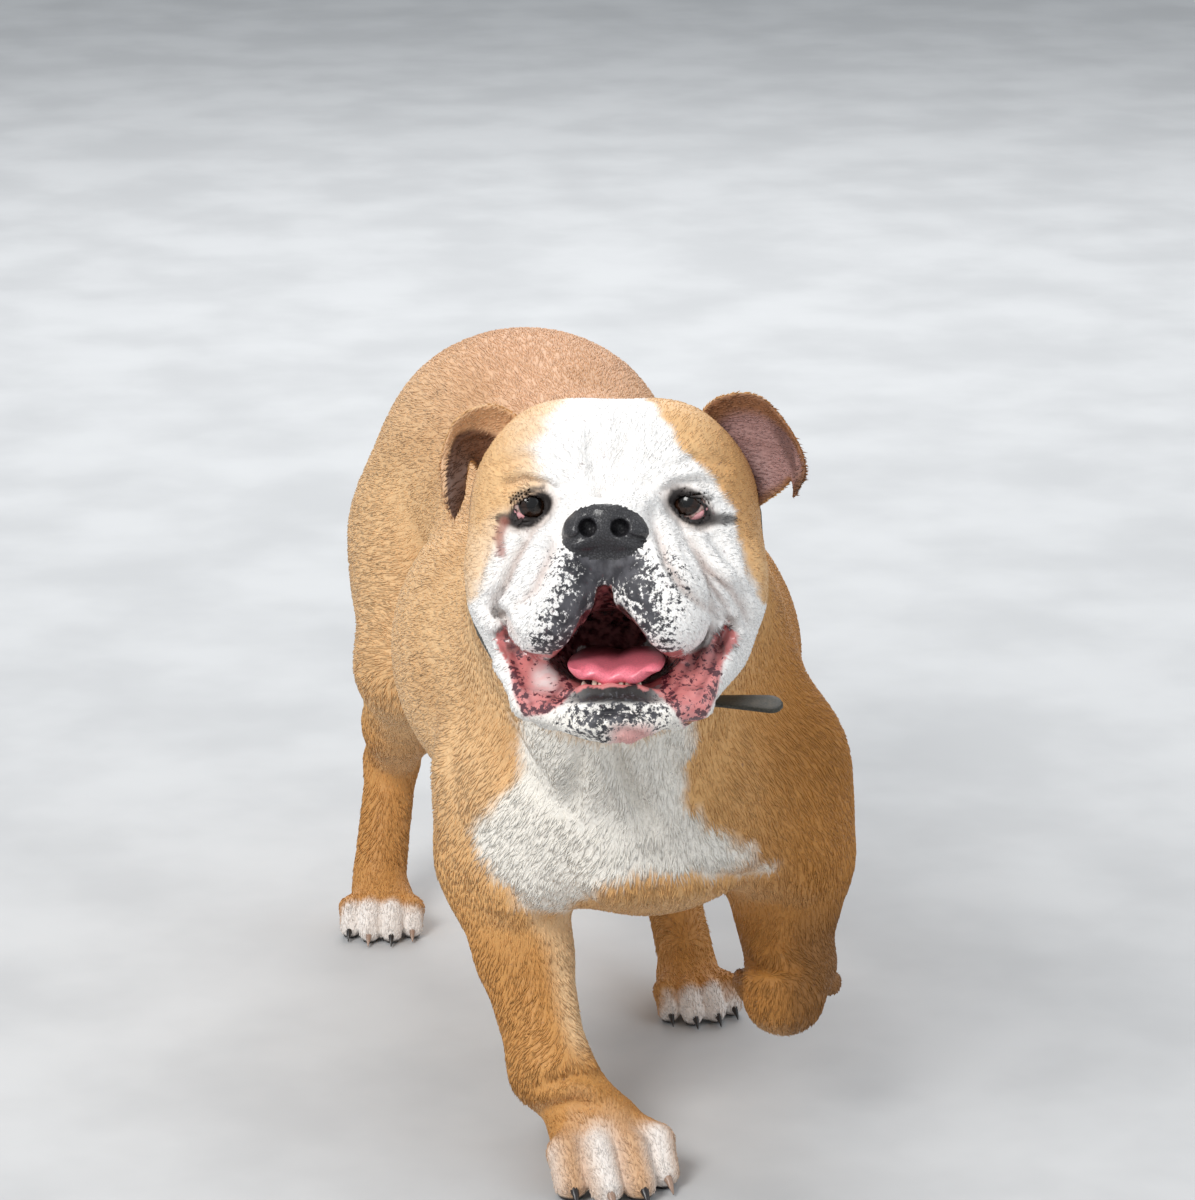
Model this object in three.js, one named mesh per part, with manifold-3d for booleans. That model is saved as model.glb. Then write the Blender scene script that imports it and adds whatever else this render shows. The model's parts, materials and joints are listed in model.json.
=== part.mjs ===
// English bulldog, walking, as a life-size still model. Millimetres, +Z up. The dog faces -Y, its left is +X.
// The flesh is one smooth field of rounded forms, meshed whole and parted with thin cuts.
// Inside the anatomy functions the shoulder joints lie over y = 0; the last step moves the origin.
import * as THREE from "three";
import Module from "manifold-3d";

const wasm = await Module();
wasm.setup();

// Driving dimensions
const WITHERS = 400; // height of the back over the shoulders
const CROUP = 438; // height of the back over the hips
const BRISKET = 152; // height of the breastbone between the forelegs
const CHEST_WIDTH = 286; // across the shoulders
const LEAN = 14; // the shoulders shift to the left, over the lifted leg
const RIB_WIDTH = 272; // across the barrel
const HIP_WIDTH = 264; // across the thighs
const BODY_END = 480; // from the shoulder joints back to the buttocks
const CHEST_FRONT = 104; // from the shoulder joints forward to the breastbone's tip
const SKULL_WIDTH = 150;
const FACE_WIDTH = 180; // across the cheeks
const EYE_SPACING = 94; // between the eyeballs' centres
const EYE_RADIUS = 12.5;
const PAW_WIDTH = 86; // of a forepaw
const HIND_SIZE = 0.74; // a hind paw against a forepaw
const LIFTED_SIZE = 0.86; // the lifted paw, its toes drawn together
const JAW_SHIFT = 3; // the lower jaw sits a little to the left
const GAP = 0.3; // between touching nodes

// How finely each region is meshed, and the triangles it keeps
const BODY_MESH = { cell: 4.4, triangles: 3300 };
const HEAD_MESH = { cell: 2.5, triangles: 2700 };
const PAW_MESH = { cell: 2.8, triangles: 320 };

// Where the joints are
const HEAD = { at: [-42, -195, 467], yaw: 12.8, pitch: 15.5, roll: -1.1 };
const WITHERS_AT = [0, 30, WITHERS - 72];
const STANCE = {
  foreRight: { shoulder: [-74, 0, 235], elbow: [-78, 14, 178], wrist: [-60, -72, 64], paw: [-30, -98, 0] },
  foreLeft: { shoulder: [94, 0, 235], elbow: [108, 6, 170], wrist: [94, -56, 98], paw: [104, -11, 113] },
  hindRight: { hip: [-76, 380, 290], knee: [-96, 322, 212], hock: [-102, 424, 106], paw: [-117, 362, 0] },
  hindLeft: { hip: [76, 355, 290], knee: [90, 252, 225], hock: [70, 294, 102], paw: [76, 172, 0] },
};

const radians = THREE.MathUtils.degToRad;
const vec = (p) => new THREE.Vector3(...p);
const mix = (a, b, t) => a.map((v, i) => v + (b[i] - v) * t);
const mirror = ([x, y, z]) => [-x, y, z];

// A frame turned left by yaw, nose up by pitch and leaned by roll, in degrees
function frame({ at, yaw = 0, pitch = 0, roll = 0, scale = 1 }) {
  const turn = new THREE.Euler(radians(-pitch), radians(roll), radians(-yaw), "ZXY");
  return new THREE.Matrix4().compose(
    vec(at),
    new THREE.Quaternion().setFromEuler(turn),
    new THREE.Vector3(scale, scale, scale),
  );
}

const WORLD = new THREE.Matrix4();

// A form is a rounded body with the distance to its skin. It joins the ones before it over its blend width.
function egg(at, radii, blend = 12, { cut = false, tilt = [0, 0, 0], within = WORLD } = {}) {
  const turn = new THREE.Matrix4().makeRotationFromEuler(new THREE.Euler(...tilt.map(radians)));
  const place = within.clone().multiply(new THREE.Matrix4().makeTranslation(...at)).multiply(turn);
  const scale = within.getMaxScaleOnAxis();
  const e = place.clone().invert().elements;
  const [rx, ry, rz] = radii;
  const distance = (x, y, z) => {
    const px = (e[0] * x + e[4] * y + e[8] * z + e[12]) / rx;
    const py = (e[1] * x + e[5] * y + e[9] * z + e[13]) / ry;
    const pz = (e[2] * x + e[6] * y + e[10] * z + e[14]) / rz;
    const near = Math.hypot(px, py, pz);
    const steep = Math.hypot(px / rx, py / ry, pz / rz);
    return steep < 1e-9 ? -Math.min(rx, ry, rz) : ((near * (near - 1)) / steep) * scale;
  };
  return { centre: vec([0, 0, 0]).applyMatrix4(place), reach: Math.max(...radii) * scale, distance, blend, cut };
}

// A tapered rod with round ends
function rod(a, b, ra, rb, blend = 12, { cut = false, within = WORLD } = {}) {
  const scale = within.getMaxScaleOnAxis();
  const p = vec(a).applyMatrix4(within);
  const q = vec(b).applyMatrix4(within);
  const r1 = ra * scale;
  const r2 = rb * scale;
  const d = q.clone().sub(p);
  const length = d.length();
  const slope = (r1 - r2) / length;
  const rise = Math.sqrt(Math.max(0, 1 - slope * slope));
  const n = d.clone().divideScalar(length);
  const distance = (x, y, z) => {
    const vx = x - p.x;
    const vy = y - p.y;
    const vz = z - p.z;
    const along = vx * n.x + vy * n.y + vz * n.z;
    const off = Math.sqrt(Math.max(0, vx * vx + vy * vy + vz * vz - along * along));
    const t = along - (off * slope) / rise;
    if (t <= 0) return Math.hypot(off, along) - r1;
    if (t >= length) return Math.hypot(off, along - length) - r2;
    return off * rise + along * slope - r1;
  };
  const centre = p.clone().add(q).multiplyScalar(0.5);
  return { centre, reach: length / 2 + Math.max(r1, r2), distance, blend, cut };
}

// Rods through several points, each point [x, y, z, radius]
function chain(points, blend = 12, options = {}) {
  return points
    .slice(1)
    .map((b, i) => rod(points[i].slice(0, 3), b.slice(0, 3), points[i][3], b[3], blend, options));
}

const both = (make) => [make(1), make(-1)].flat();

// Torso, from the breastbone to the buttocks
function torso() {
  const side = RIB_WIDTH / 2;
  const hip = HIP_WIDTH / 2;
  return [
    egg([0, 118, 280], [side, 168, 120], 30),
    egg([6, 14 - CHEST_FRONT / 2, BRISKET + 88], [92, 84, 86], 30),
    egg(WITHERS_AT, [80, 96, 72], 34),
    ...both((s) =>
      egg([LEAN + s * (CHEST_WIDTH / 2 - 64), 0, 220], [48, 72, 94], 30, { tilt: [-12, s * -10, 0] }),
    ),
    egg([0, 270, 330], [94, 140, 92], 34),
    egg([0, 210, 248], [92, 120, 60], 34),
    egg([-9, BODY_END - 108, CROUP - 92], [104, 108, 92], 34),
    ...both((s) => egg([s * (hip - 60), BODY_END - 96, 280], [58, 66, 86], 30)),
    // folds of loose skin down the throat
    ...both((s) => rod([s * 22 - 8, -92, 300], [s * 16 - 4, -98, 205], 22, 24, 16)),
  ];
}

function neck() {
  return [
    rod([0, 22, 312], [-22, -92, 388], 104, 86, 30),
    rod([-22, -92, 388], [-28, -122, 420], 86, 78, 24),
    egg([-24, -100, 322], [60, 50, 70], 24),
  ];
}

// The tail is short, set low, and kinked
function tail() {
  return chain(
    [
      [0, BODY_END - 14, CROUP - 66, 22],
      [4, BODY_END + 12, CROUP - 88, 16],
      [-3, BODY_END + 20, CROUP - 114, 11],
      [2, BODY_END + 14, CROUP - 134, 6],
    ],
    8,
  );
}

// Head, in its own frame: the origin is midway between the eyeballs, the muzzle points to -Y
const headFrame = frame(HEAD);
const inHead = { within: headFrame };
const cutInHead = { within: headFrame, cut: true };
const NOSE = [-1, -45, -14];
function head() {
  const cheek = FACE_WIDTH / 2;
  const e = (at, radii, blend) => egg(at, radii, blend, inHead);
  const r = (points, blend) => chain(points, blend, inHead);
  const hollow = (points, blend) => chain(points, blend, cutInHead);
  return [
    e([0, 62, 6], [SKULL_WIDTH / 2, 74, 56], 28),
    ...both((s) => e([s * 31, 24, 22], [40, 40, 38], 26)),
    e([0, 14, 16], [40, 28, 30], 22),
    ...both((s) => e([s * (cheek - 34), 46, -12], [30, 50, 46], 20)),
    ...both((s) => e([s * (cheek - 28) + 2, 36, -50], [28, 42, 38], 18)),
    // muzzle: bridge, upper lips, nose
    e([0, -8, -30], [50, 40, 34], 16),
    e([0, -24, -6], [25, 26, 15], 14),
    ...both((s) => e([s * 28 - 1, -31, -50], [28, 32, 32], 9)),
    ...both((s) => e([s * 35, -30, -66], [24, 31, 24], 9)),
    e([NOSE[0], NOSE[1] + 6, NOSE[2]], [20, 17, 15], 6),
    ...both((s) => e([NOSE[0] + s * 14, NOSE[1], NOSE[2] - 3], [11, 12, 11.5], 5)),
    // folds run from the inner corners of the eyes down beside the muzzle
    ...both((s) => r([[s * 45, -16, -20, 9], [s * 60, -12, -44, 11], [s * 67, -6, -66, 11]], 7)),
    // lower jaw, chin and throat
    ...both((s) => r([[s * 52 + JAW_SHIFT, 46, -84, 26], [s * 36 + JAW_SHIFT, -30, -116, 15]], 14)),
    e([JAW_SHIFT, 14, -116], [48, 56, 20], 16),
    e([JAW_SHIFT, -50, -122], [33, 20, 16], 9),
    e([JAW_SHIFT, -46, -112], [24, 9, 8], 5),
    ...both((s) =>
      r(
        [
          [s * 64 + JAW_SHIFT, 2, -74, 10],
          [s * 60 + JAW_SHIFT, -16, -92, 9.5],
          [s * 49 + JAW_SHIFT, -38, -115, 9],
          [s * 30 + JAW_SHIFT, -52, -120, 9],
        ],
        6,
      ),
    ),
    // sockets under the brow, and the lower edge of each socket
    ...both((s) => egg([(s * EYE_SPACING) / 2 + s, -15, -1], [13, 9, 9], 8, cutInHead)),
    // furrow between the brows
    egg([0, -26, 28], [4, 9, 26], 14, cutInHead),
    // nostrils, each with its slit to the side, and the groove of the upper lip
    ...both((s) => hollow([[NOSE[0] + s * 10, -62, -14, 4.6], [NOSE[0] + s * 9, -48, -13, 4.2]], 1.5)),
    ...both((s) => hollow([[NOSE[0] + s * 12, -60, -18, 2.4], [NOSE[0] + s * 23, -54, -22, 1.6]], 1.5)),
    ...hollow([[NOSE[0], -66, -12, 1.8], [NOSE[0], -64, -52, 2.6]], 4),
    // the open mouth: the V between the upper lips, in front and further in, and the hollow behind it
    ...hollow([[-1, -62, -52, 4], [0, -56, -70, 13], [2, -50, -84, 21]], 3),
    ...hollow([[-1, -42, -52, 4.5], [0, -34, -68, 13], [2, -24, -80, 20]], 3),
    egg([JAW_SHIFT, -14, -84], [37, 44, 21], 4, cutInHead),
    ...both((s) => hollow([[s * 22 + 4, -56, -97, 8], [s * 47 + 4, -40, -96, 8], [s * 64 + 4, -14, -77, 4.5]], 3)),
    // creases above the corners of the mouth
    ...both((s) => hollow([[s * 62 + 2, -20, -56, 3], [s * 72 + 3, -4, -70, 3.5]], 5)),
  ];
}

// Forelegs and hind legs without their paws
function legs() {
  const { foreRight: fr, foreLeft: fl, hindRight: hr, hindLeft: hl } = STANCE;
  const fore = (leg) => [
    rod(leg.shoulder, leg.elbow, 50, 40, 24),
    rod(leg.elbow, mix(leg.elbow, leg.wrist, 0.45), 39, 31, 16),
    rod(mix(leg.elbow, leg.wrist, 0.45), leg.wrist, 31, 25, 12),
  ];
  const hind = (leg) => [
    rod(leg.hip, leg.knee, 56, 42, 26),
    egg(mix(leg.hip, leg.hock, 0.35), [42, 60, 74], 22, { tilt: [18, 0, 0] }),
    rod(leg.knee, mix(leg.knee, leg.hock, 0.6), 40, 27, 16),
    rod(mix(leg.knee, leg.hock, 0.6), leg.hock, 27, 20, 12),
    rod(leg.hock, [leg.paw[0], leg.paw[1] + 22, 30], 20, 20, 10),
  ];
  return [...fore(fr), ...fore(fl), ...hind(hr), ...hind(hl)];
}

// A paw in its own frame: the origin is on the floor under its middle, the toes point to -Y
const TOES = [
  { x: -28, reach: 26, root: -13 },
  { x: -10, reach: 38, root: -5 },
  { x: 10, reach: 38, root: 5 },
  { x: 28, reach: 26, root: 13 },
];
const TOE_RADIUS = 10.5;
const TOE_HEIGHT = 9; // of the last joint over the floor
const pawFrame = ({ at, yaw = 0, pitch = 0, roll = 0 }, size) =>
  frame({ at, yaw, pitch, roll, scale: (size * PAW_WIDTH) / 80 });
const PAWS = {
  foreRight: pawFrame({ at: STANCE.foreRight.paw, yaw: -8 }, 1),
  foreLeft: pawFrame({ at: STANCE.foreLeft.paw, yaw: -4, pitch: -125 }, LIFTED_SIZE),
  hindRight: pawFrame({ at: STANCE.hindRight.paw, yaw: 10 }, HIND_SIZE),
  hindLeft: pawFrame({ at: STANCE.hindLeft.paw, yaw: -6 }, HIND_SIZE),
};
function pawForms(within) {
  return [
    egg([0, 8, 22], [29, 30, 21], 12, { within }),
    egg([0, 10, 8], [24, 20, 12], 8, { within }),
    ...TOES.flatMap(({ x, reach, root }) =>
      chain(
        [
          [root, 4, 29, 12],
          [x, -reach * 0.55, 24, 11],
          [x, -reach, TOE_HEIGHT, TOE_RADIUS],
        ],
        4,
        { within },
      ),
    ),
  ];
}

function wrists() {
  const join = (leg, place, blend) => rod(leg, vec([0, 10, 28]).applyMatrix4(place).toArray(), 25, 24, blend);
  return [join(STANCE.foreRight.wrist, PAWS.foreRight, 14), join(STANCE.foreLeft.wrist, PAWS.foreLeft, 12)];
}

const flesh = [
  ...torso(),
  ...legs(),
  ...tail(),
  ...neck(),
  ...head(),
  ...wrists(),
  ...Object.values(PAWS).flatMap(pawForms),
];

// The field of the forms on a grid over a box. Each form is only worked out near itself.
const FAR = 1000;
const boxOf = (forms, margin = 0) => {
  const box = new THREE.Box3();
  for (const { centre, reach } of forms) {
    box.expandByPoint(centre.clone().addScalar(reach + margin));
    box.expandByPoint(centre.clone().subScalar(reach + margin));
  }
  return box;
};
function fieldOf(forms, cell, box, outside = () => -FAR) {
  const low = box.min.clone().subScalar(1.5 * cell);
  const size = box.max.clone().sub(low).divideScalar(cell).ceil().addScalar(2).toArray();
  const [nx, ny, nz] = size;
  const value = new Float32Array(nx * ny * nz).fill(FAR);
  for (const { centre, reach, distance, blend, cut } of forms) {
    const margin = reach + blend + 3 * cell;
    const first = centre.clone().subScalar(margin).sub(low).divideScalar(cell).floor().toArray();
    const last = centre.clone().addScalar(margin).sub(low).divideScalar(cell).ceil().toArray();
    const from = first.map((v) => Math.max(v, 0));
    const to = last.map((v, i) => Math.min(v, size[i] - 1));
    for (let k = from[2]; k <= to[2]; k++)
      for (let j = from[1]; j <= to[1]; j++)
        for (let i = from[0]; i <= to[0]; i++) {
          const at = i + nx * (j + ny * k);
          const d = distance(low.x + i * cell, low.y + j * cell, low.z + k * cell);
          value[at] = joined(value[at], d, blend, cut);
        }
  }
  for (let k = 0; k < nz; k++)
    for (let j = 0; j < ny; j++)
      for (let i = 0; i < nx; i++) {
        const at = i + nx * (j + ny * k);
        const edge = Math.min(i, j, k, nx - 1 - i, ny - 1 - j, nz - 1 - k);
        const beyond = outside(low.x + i * cell, low.y + j * cell, low.z + k * cell);
        value[at] = edge === 0 ? cell : Math.max(value[at], beyond);
      }
  return { value, low, cell, size };
}

// Rounded joining of two distances, or rounded cutting of the second from the first
function joined(value, d, blend, cut) {
  const a = cut ? -value : value;
  const over = Math.max(blend - Math.abs(a - d), 0);
  const least = Math.min(a, d) - (over * over) / (4 * blend);
  return cut ? -least : least;
}

const fieldAt = (p, forms = flesh) =>
  forms.reduce((value, f) => joined(value, f.distance(p.x, p.y, p.z), f.blend, f.cut), FAR);

// Fills a corner wherever a cell's face has two opposite corners inside, so that the mesh can't touch itself
function tidySigns({ value, size: [nx, ny, nz] }) {
  const steps = [1, nx, nx * ny];
  for (let pass = 0, changed = true; changed && pass < 20; pass++) {
    changed = false;
    for (let at = 0; at < value.length - steps[2] - nx - 1; at++)
      for (const [s, t] of [[steps[0], steps[1]], [steps[0], steps[2]], [steps[1], steps[2]]]) {
        const inside = [at, at + s, at + t, at + s + t].map((n) => value[n] < 0);
        if (inside[0] !== inside[3] || inside[1] !== inside[2] || inside[0] === inside[1]) continue;
        value[inside[0] ? at + s : at] = -1e-3;
        changed = true;
      }
  }
}

// One vertex in each cell that the skin crosses, one quad across each crossed edge of the grid
function skinOf(field) {
  tidySigns(field);
  const { value, low, cell, size } = field;
  const [nx, ny, nz] = size;
  const steps = [1, nx, nx * ny];
  const vertexAt = new Map();
  const points = [];
  const corner = [];
  for (let c = 0; c < 8; c++) corner.push([c & 1, (c >> 1) & 1, c >> 2]);
  const edges = [];
  for (let a = 0; a < 8; a++)
    for (let d = 0; d < 3; d++) if (!corner[a][d]) edges.push([a, a | (1 << d)]);
  for (let k = 0; k < nz - 1; k++)
    for (let j = 0; j < ny - 1; j++)
      for (let i = 0; i < nx - 1; i++) {
        const at = i + nx * (j + ny * k);
        const v = corner.map(([x, y, z]) => value[at + x + y * nx + z * steps[2]]);
        const inside = v.filter((d) => d < 0).length;
        if (inside === 0 || inside === 8) continue;
        const sum = [0, 0, 0];
        let count = 0;
        for (const [a, b] of edges) {
          if (v[a] < 0 === v[b] < 0) continue;
          const t = v[a] / (v[a] - v[b]);
          for (let d = 0; d < 3; d++) sum[d] += corner[a][d] + t * (corner[b][d] - corner[a][d]);
          count++;
        }
        vertexAt.set(at, points.length);
        points.push([
          low.x + (i + sum[0] / count) * cell,
          low.y + (j + sum[1] / count) * cell,
          low.z + (k + sum[2] / count) * cell,
        ]);
      }
  const triangles = [];
  for (const at of vertexAt.keys())
    for (let d = 0; d < 3; d++) {
      const next = at + steps[d];
      if (value[at] < 0 === value[next] < 0) continue;
      const s = steps[(d + 1) % 3];
      const t = steps[(d + 2) % 3];
      const ring = [at, at - s, at - s - t, at - t].map((n) => vertexAt.get(n));
      if (value[at] >= 0) ring.reverse();
      const [p, q, r, u] = ring;
      triangles.push([p, q, r], [p, r, u]);
    }
  return { points, triangles };
}

// Edge collapse by quadric error, with detail(point) weighing how much a place keeps
function simplify({ points, triangles }, target, detail = () => 1) {
  const quadrics = points.map(() => new Float64Array(10));
  const faces = triangles.map((t) => t.slice());
  const around = points.map(() => new Set());
  const alive = new Array(faces.length).fill(true);
  const sub = (a, b) => [a[0] - b[0], a[1] - b[1], a[2] - b[2]];
  const cross = (a, b) => [a[1] * b[2] - a[2] * b[1], a[2] * b[0] - a[0] * b[2], a[0] * b[1] - a[1] * b[0]];
  const dot = (a, b) => a[0] * b[0] + a[1] * b[1] + a[2] * b[2];
  faces.forEach((f, n) => {
    const [a, b, c] = f.map((v) => points[v]);
    const normal = cross(sub(b, a), sub(c, a));
    const size = Math.hypot(...normal) || 1e-12;
    const [x, y, z] = normal.map((v) => v / size);
    const w = -(x * a[0] + y * a[1] + z * a[2]);
    const weight = size * detail(a);
    const q = [x * x, x * y, x * z, x * w, y * y, y * z, y * w, z * z, z * w, w * w];
    for (const v of f) {
      around[v].add(n);
      q.forEach((value, i) => (quadrics[v][i] += value * weight));
    }
  });
  const cost = (q, [x, y, z]) =>
    q[0] * x * x + 2 * q[1] * x * y + 2 * q[2] * x * z + 2 * q[3] * x + q[4] * y * y +
    2 * q[5] * y * z + 2 * q[6] * y + q[7] * z * z + 2 * q[8] * z + q[9];
  const best = (q, a, b) => {
    const det =
      q[0] * (q[4] * q[7] - q[5] * q[5]) - q[1] * (q[1] * q[7] - q[5] * q[2]) + q[2] * (q[1] * q[5] - q[4] * q[2]);
    const middle = mix(a, b, 0.5);
    const tries = [a, b, middle];
    if (Math.abs(det) > 1e-3) {
      const [r, s, t] = [-q[3], -q[6], -q[8]];
      const x = (r * (q[4] * q[7] - q[5] * q[5]) - q[1] * (s * q[7] - q[5] * t) + q[2] * (s * q[5] - q[4] * t)) / det;
      const y = (q[0] * (s * q[7] - q[5] * t) - r * (q[1] * q[7] - q[5] * q[2]) + q[2] * (q[1] * t - s * q[2])) / det;
      const z = (q[0] * (q[4] * t - s * q[5]) - q[1] * (q[1] * t - s * q[2]) + r * (q[1] * q[5] - q[4] * q[2])) / det;
      const reach = Math.hypot(...sub(a, b));
      if (Math.hypot(...sub([x, y, z], middle)) < 1.5 * reach) tries.unshift([x, y, z]);
    }
    return tries.map((p) => [cost(q, p), p]).reduce((m, t) => (t[0] < m[0] ? t : m));
  };
  const heap = [];
  const swap = (i, j) => ([heap[i], heap[j]] = [heap[j], heap[i]]);
  const push = (item) => {
    let i = heap.push(item) - 1;
    while (i > 0 && heap[(i - 1) >> 1][0] > heap[i][0]) {
      swap(i, (i - 1) >> 1);
      i = (i - 1) >> 1;
    }
  };
  const pop = () => {
    const top = heap[0];
    const last = heap.pop();
    if (heap.length) {
      heap[0] = last;
      for (let i = 0; ; ) {
        const left = 2 * i + 1;
        if (left >= heap.length) break;
        const small = left + 1 < heap.length && heap[left + 1][0] < heap[left][0] ? left + 1 : left;
        if (heap[small][0] >= heap[i][0]) break;
        swap(i, small);
        i = small;
      }
    }
    return top;
  };
  const stamp = new Uint32Array(points.length);
  const offer = (a, b) => {
    const q = quadrics[a].map((v, i) => v + quadrics[b][i]);
    const length = Math.hypot(...sub(points[a], points[b]));
    const [error, place] = best(q, points[a], points[b]);
    push([error + 1e-4 * length * length, a, b, stamp[a], stamp[b], place]);
  };
  const neighbours = (v) => new Set([...around[v]].flatMap((n) => faces[n]).filter((u) => u !== v));
  faces.forEach(([a, b, c]) => [[a, b], [b, c], [c, a]].forEach(([u, v]) => u < v && offer(u, v)));
  let left = faces.length;
  while (left > target && heap.length) {
    const [, a, b, stampA, stampB, place] = pop();
    if (stamp[a] !== stampA || stamp[b] !== stampB || !around[a].size || !around[b].size) continue;
    const nearA = neighbours(a);
    const nearB = neighbours(b);
    if ([...nearA].filter((v) => nearB.has(v)).length !== 2) continue;
    const turns = (from, other) =>
      [...around[from]].some((n) => {
        if (faces[n].includes(other)) return false;
        const old = faces[n].map((v) => points[v]);
        const now = faces[n].map((v) => (v === from ? place : points[v]));
        const n1 = cross(sub(old[1], old[0]), sub(old[2], old[0]));
        const n2 = cross(sub(now[1], now[0]), sub(now[2], now[0]));
        return dot(n1, n2) < 0.3 * Math.hypot(...n1) * Math.hypot(...n2);
      });
    if (turns(a, b) || turns(b, a)) continue;
    points[a] = place;
    quadrics[b].forEach((v, i) => (quadrics[a][i] += v));
    for (const n of [...around[b]]) {
      if (faces[n].includes(a)) {
        alive[n] = false;
        left--;
        for (const v of faces[n]) around[v].delete(n);
      } else {
        faces[n] = faces[n].map((v) => (v === b ? a : v));
        around[b].delete(n);
        around[a].add(n);
      }
    }
    stamp[a]++;
    for (const v of neighbours(a)) offer(a, v);
  }
  return { points, triangles: faces.filter((_, n) => alive[n]) };
}

function solid({ points, triangles }) {
  const used = new Map();
  const vertices = [];
  const triVerts = new Uint32Array(
    triangles.flat().map((v) => {
      if (!used.has(v)) {
        used.set(v, vertices.length / 3);
        vertices.push(...points[v]);
      }
      return used.get(v);
    }),
  );
  return new wasm.Manifold(new wasm.Mesh({ numProp: 3, vertProperties: new Float32Array(vertices), triVerts }));
}

// A closed mesh from rings of points, each ring joined to the next, with both ends closed around a middle point
function tube(rings) {
  const points = rings.flat().map((p) => p.toArray());
  const n = rings[0].length;
  const triangles = [];
  for (let r = 0; r + 1 < rings.length; r++)
    for (let i = 0; i < n; i++) {
      const [a, b] = [r * n + i, r * n + ((i + 1) % n)];
      triangles.push([a, b, b + n], [a, b + n, a + n]);
    }
  const last = (rings.length - 1) * n;
  for (const [start, flip] of [[0, true], [last, false]]) {
    const middle = points.length;
    const ring = points.slice(start, start + n);
    points.push(ring[0].map((_, d) => ring.reduce((sum, p) => sum + p[d], 0) / n));
    for (let i = 0; i < n; i++) {
      const [a, b] = [start + i, start + ((i + 1) % n)];
      triangles.push(flip ? [middle, b, a] : [middle, a, b]);
    }
  }
  return outward({ points, triangles });
}

// Turns the triangles outward by the sign of the volume
function outward({ points, triangles }) {
  const volume = triangles.reduce((sum, t) => {
    const [a, b, c] = t.map((v) => vec(points[v]));
    return sum + a.dot(b.cross(c));
  }, 0);
  return volume > 0 ? { points, triangles } : { points, triangles: triangles.map(([a, b, c]) => [a, c, b]) };
}

const ringPoints = (centre, across, up, rx, ry, count) =>
  Array.from({ length: count }, (_, i) => {
    const angle = (2 * Math.PI * i) / count;
    return centre.clone().addScaledVector(across, rx * Math.cos(angle)).addScaledVector(up, ry * Math.sin(angle));
  });

// A ball or an ellipsoid, turned by its frame
function ball(centre, radii, within = WORLD, rows = 9, columns = 14) {
  const [rx, ry, rz] = radii;
  const rings = Array.from({ length: rows }, (_, r) => {
    const angle = Math.PI * (0.04 + (0.92 * r) / (rows - 1));
    const middle = vec([centre[0], centre[1] - ry * Math.cos(angle), centre[2]]);
    const across = new THREE.Vector3(1, 0, 0);
    const up = new THREE.Vector3(0, 0, 1);
    return ringPoints(middle, across, up, rx * Math.sin(angle), rz * Math.sin(angle), columns);
  });
  return solid(tube(rings.map((ring) => ring.map((p) => p.applyMatrix4(within)))));
}

// A block between two levels of x whose outline is given in y and z
function slab(outline, x0, x1, within = WORLD) {
  const ring = (x) => outline.map(([y, z]) => vec([x, y, z]).applyMatrix4(within));
  const flat = THREE.ShapeUtils.triangulateShape(outline.map(([y, z]) => new THREE.Vector2(y, z)), []);
  const points = [...ring(x0), ...ring(x1)].map((p) => p.toArray());
  const n = outline.length;
  const triangles = flat.flatMap(([a, b, c]) => [[a, c, b], [a + n, b + n, c + n]]);
  const turn = THREE.ShapeUtils.isClockWise(outline.map(([y, z]) => new THREE.Vector2(y, z))) ? 1 : -1;
  for (let i = 0; i < n; i++) {
    const j = (i + 1) % n;
    const sides = [[i, j, j + n], [i, j + n, i + n]];
    triangles.push(...(turn > 0 ? sides.map(([a, b, c]) => [a, c, b]) : sides));
  }
  return solid(outward({ points, triangles }));
}

function block(size, at, tilt = [0, 0, 0], grow = 0) {
  const [x, y, z] = size.map((v) => v / 2 + grow);
  const place = new THREE.Matrix4()
    .makeTranslation(...at)
    .multiply(new THREE.Matrix4().makeRotationFromEuler(new THREE.Euler(...tilt.map(radians))));
  return slab([[-y, -z], [y, -z], [y, z], [-y, z]], -x, x, place);
}

// The largest closed surface of a solid
const whole = (manifold) => manifold.decompose().reduce((a, b) => (b.volume() > a.volume() ? b : a));

// Parts a solid by a cutter given as a function of how much it grows
function part(manifold, cutter) {
  return [whole(manifold.subtract(cutter(GAP))), whole(manifold.intersect(cutter(0)))];
}

function mesh(region, box, options = {}) {
  const { outside, detail } = options;
  const surface = skinOf(fieldOf(flesh, region.cell, box, outside));
  return whole(solid(simplify(surface, region.triangles, detail)));
}

// Where the head ends and the neck begins, in the head's frame
const NAPE = [[-240, 140], [98, 140], [30, -175], [-240, -175]];
const headZone = (grow) =>
  slab(NAPE.map(([y, z]) => [y + (y > 0 ? grow : 0), z - (z < 0 ? grow : 0)]), -170, 170, headFrame);
const beyondNape = (p, spare) => {
  const q = p.clone().applyMatrix4(headFrame.clone().invert());
  const [, [y1, z1], [y2, z2]] = NAPE;
  const length = Math.hypot(y1 - y2, z1 - z2);
  const across = ((q.y - y1) * (z1 - z2) - (q.z - z1) * (y1 - y2)) / length;
  return across + spare;
};

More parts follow.
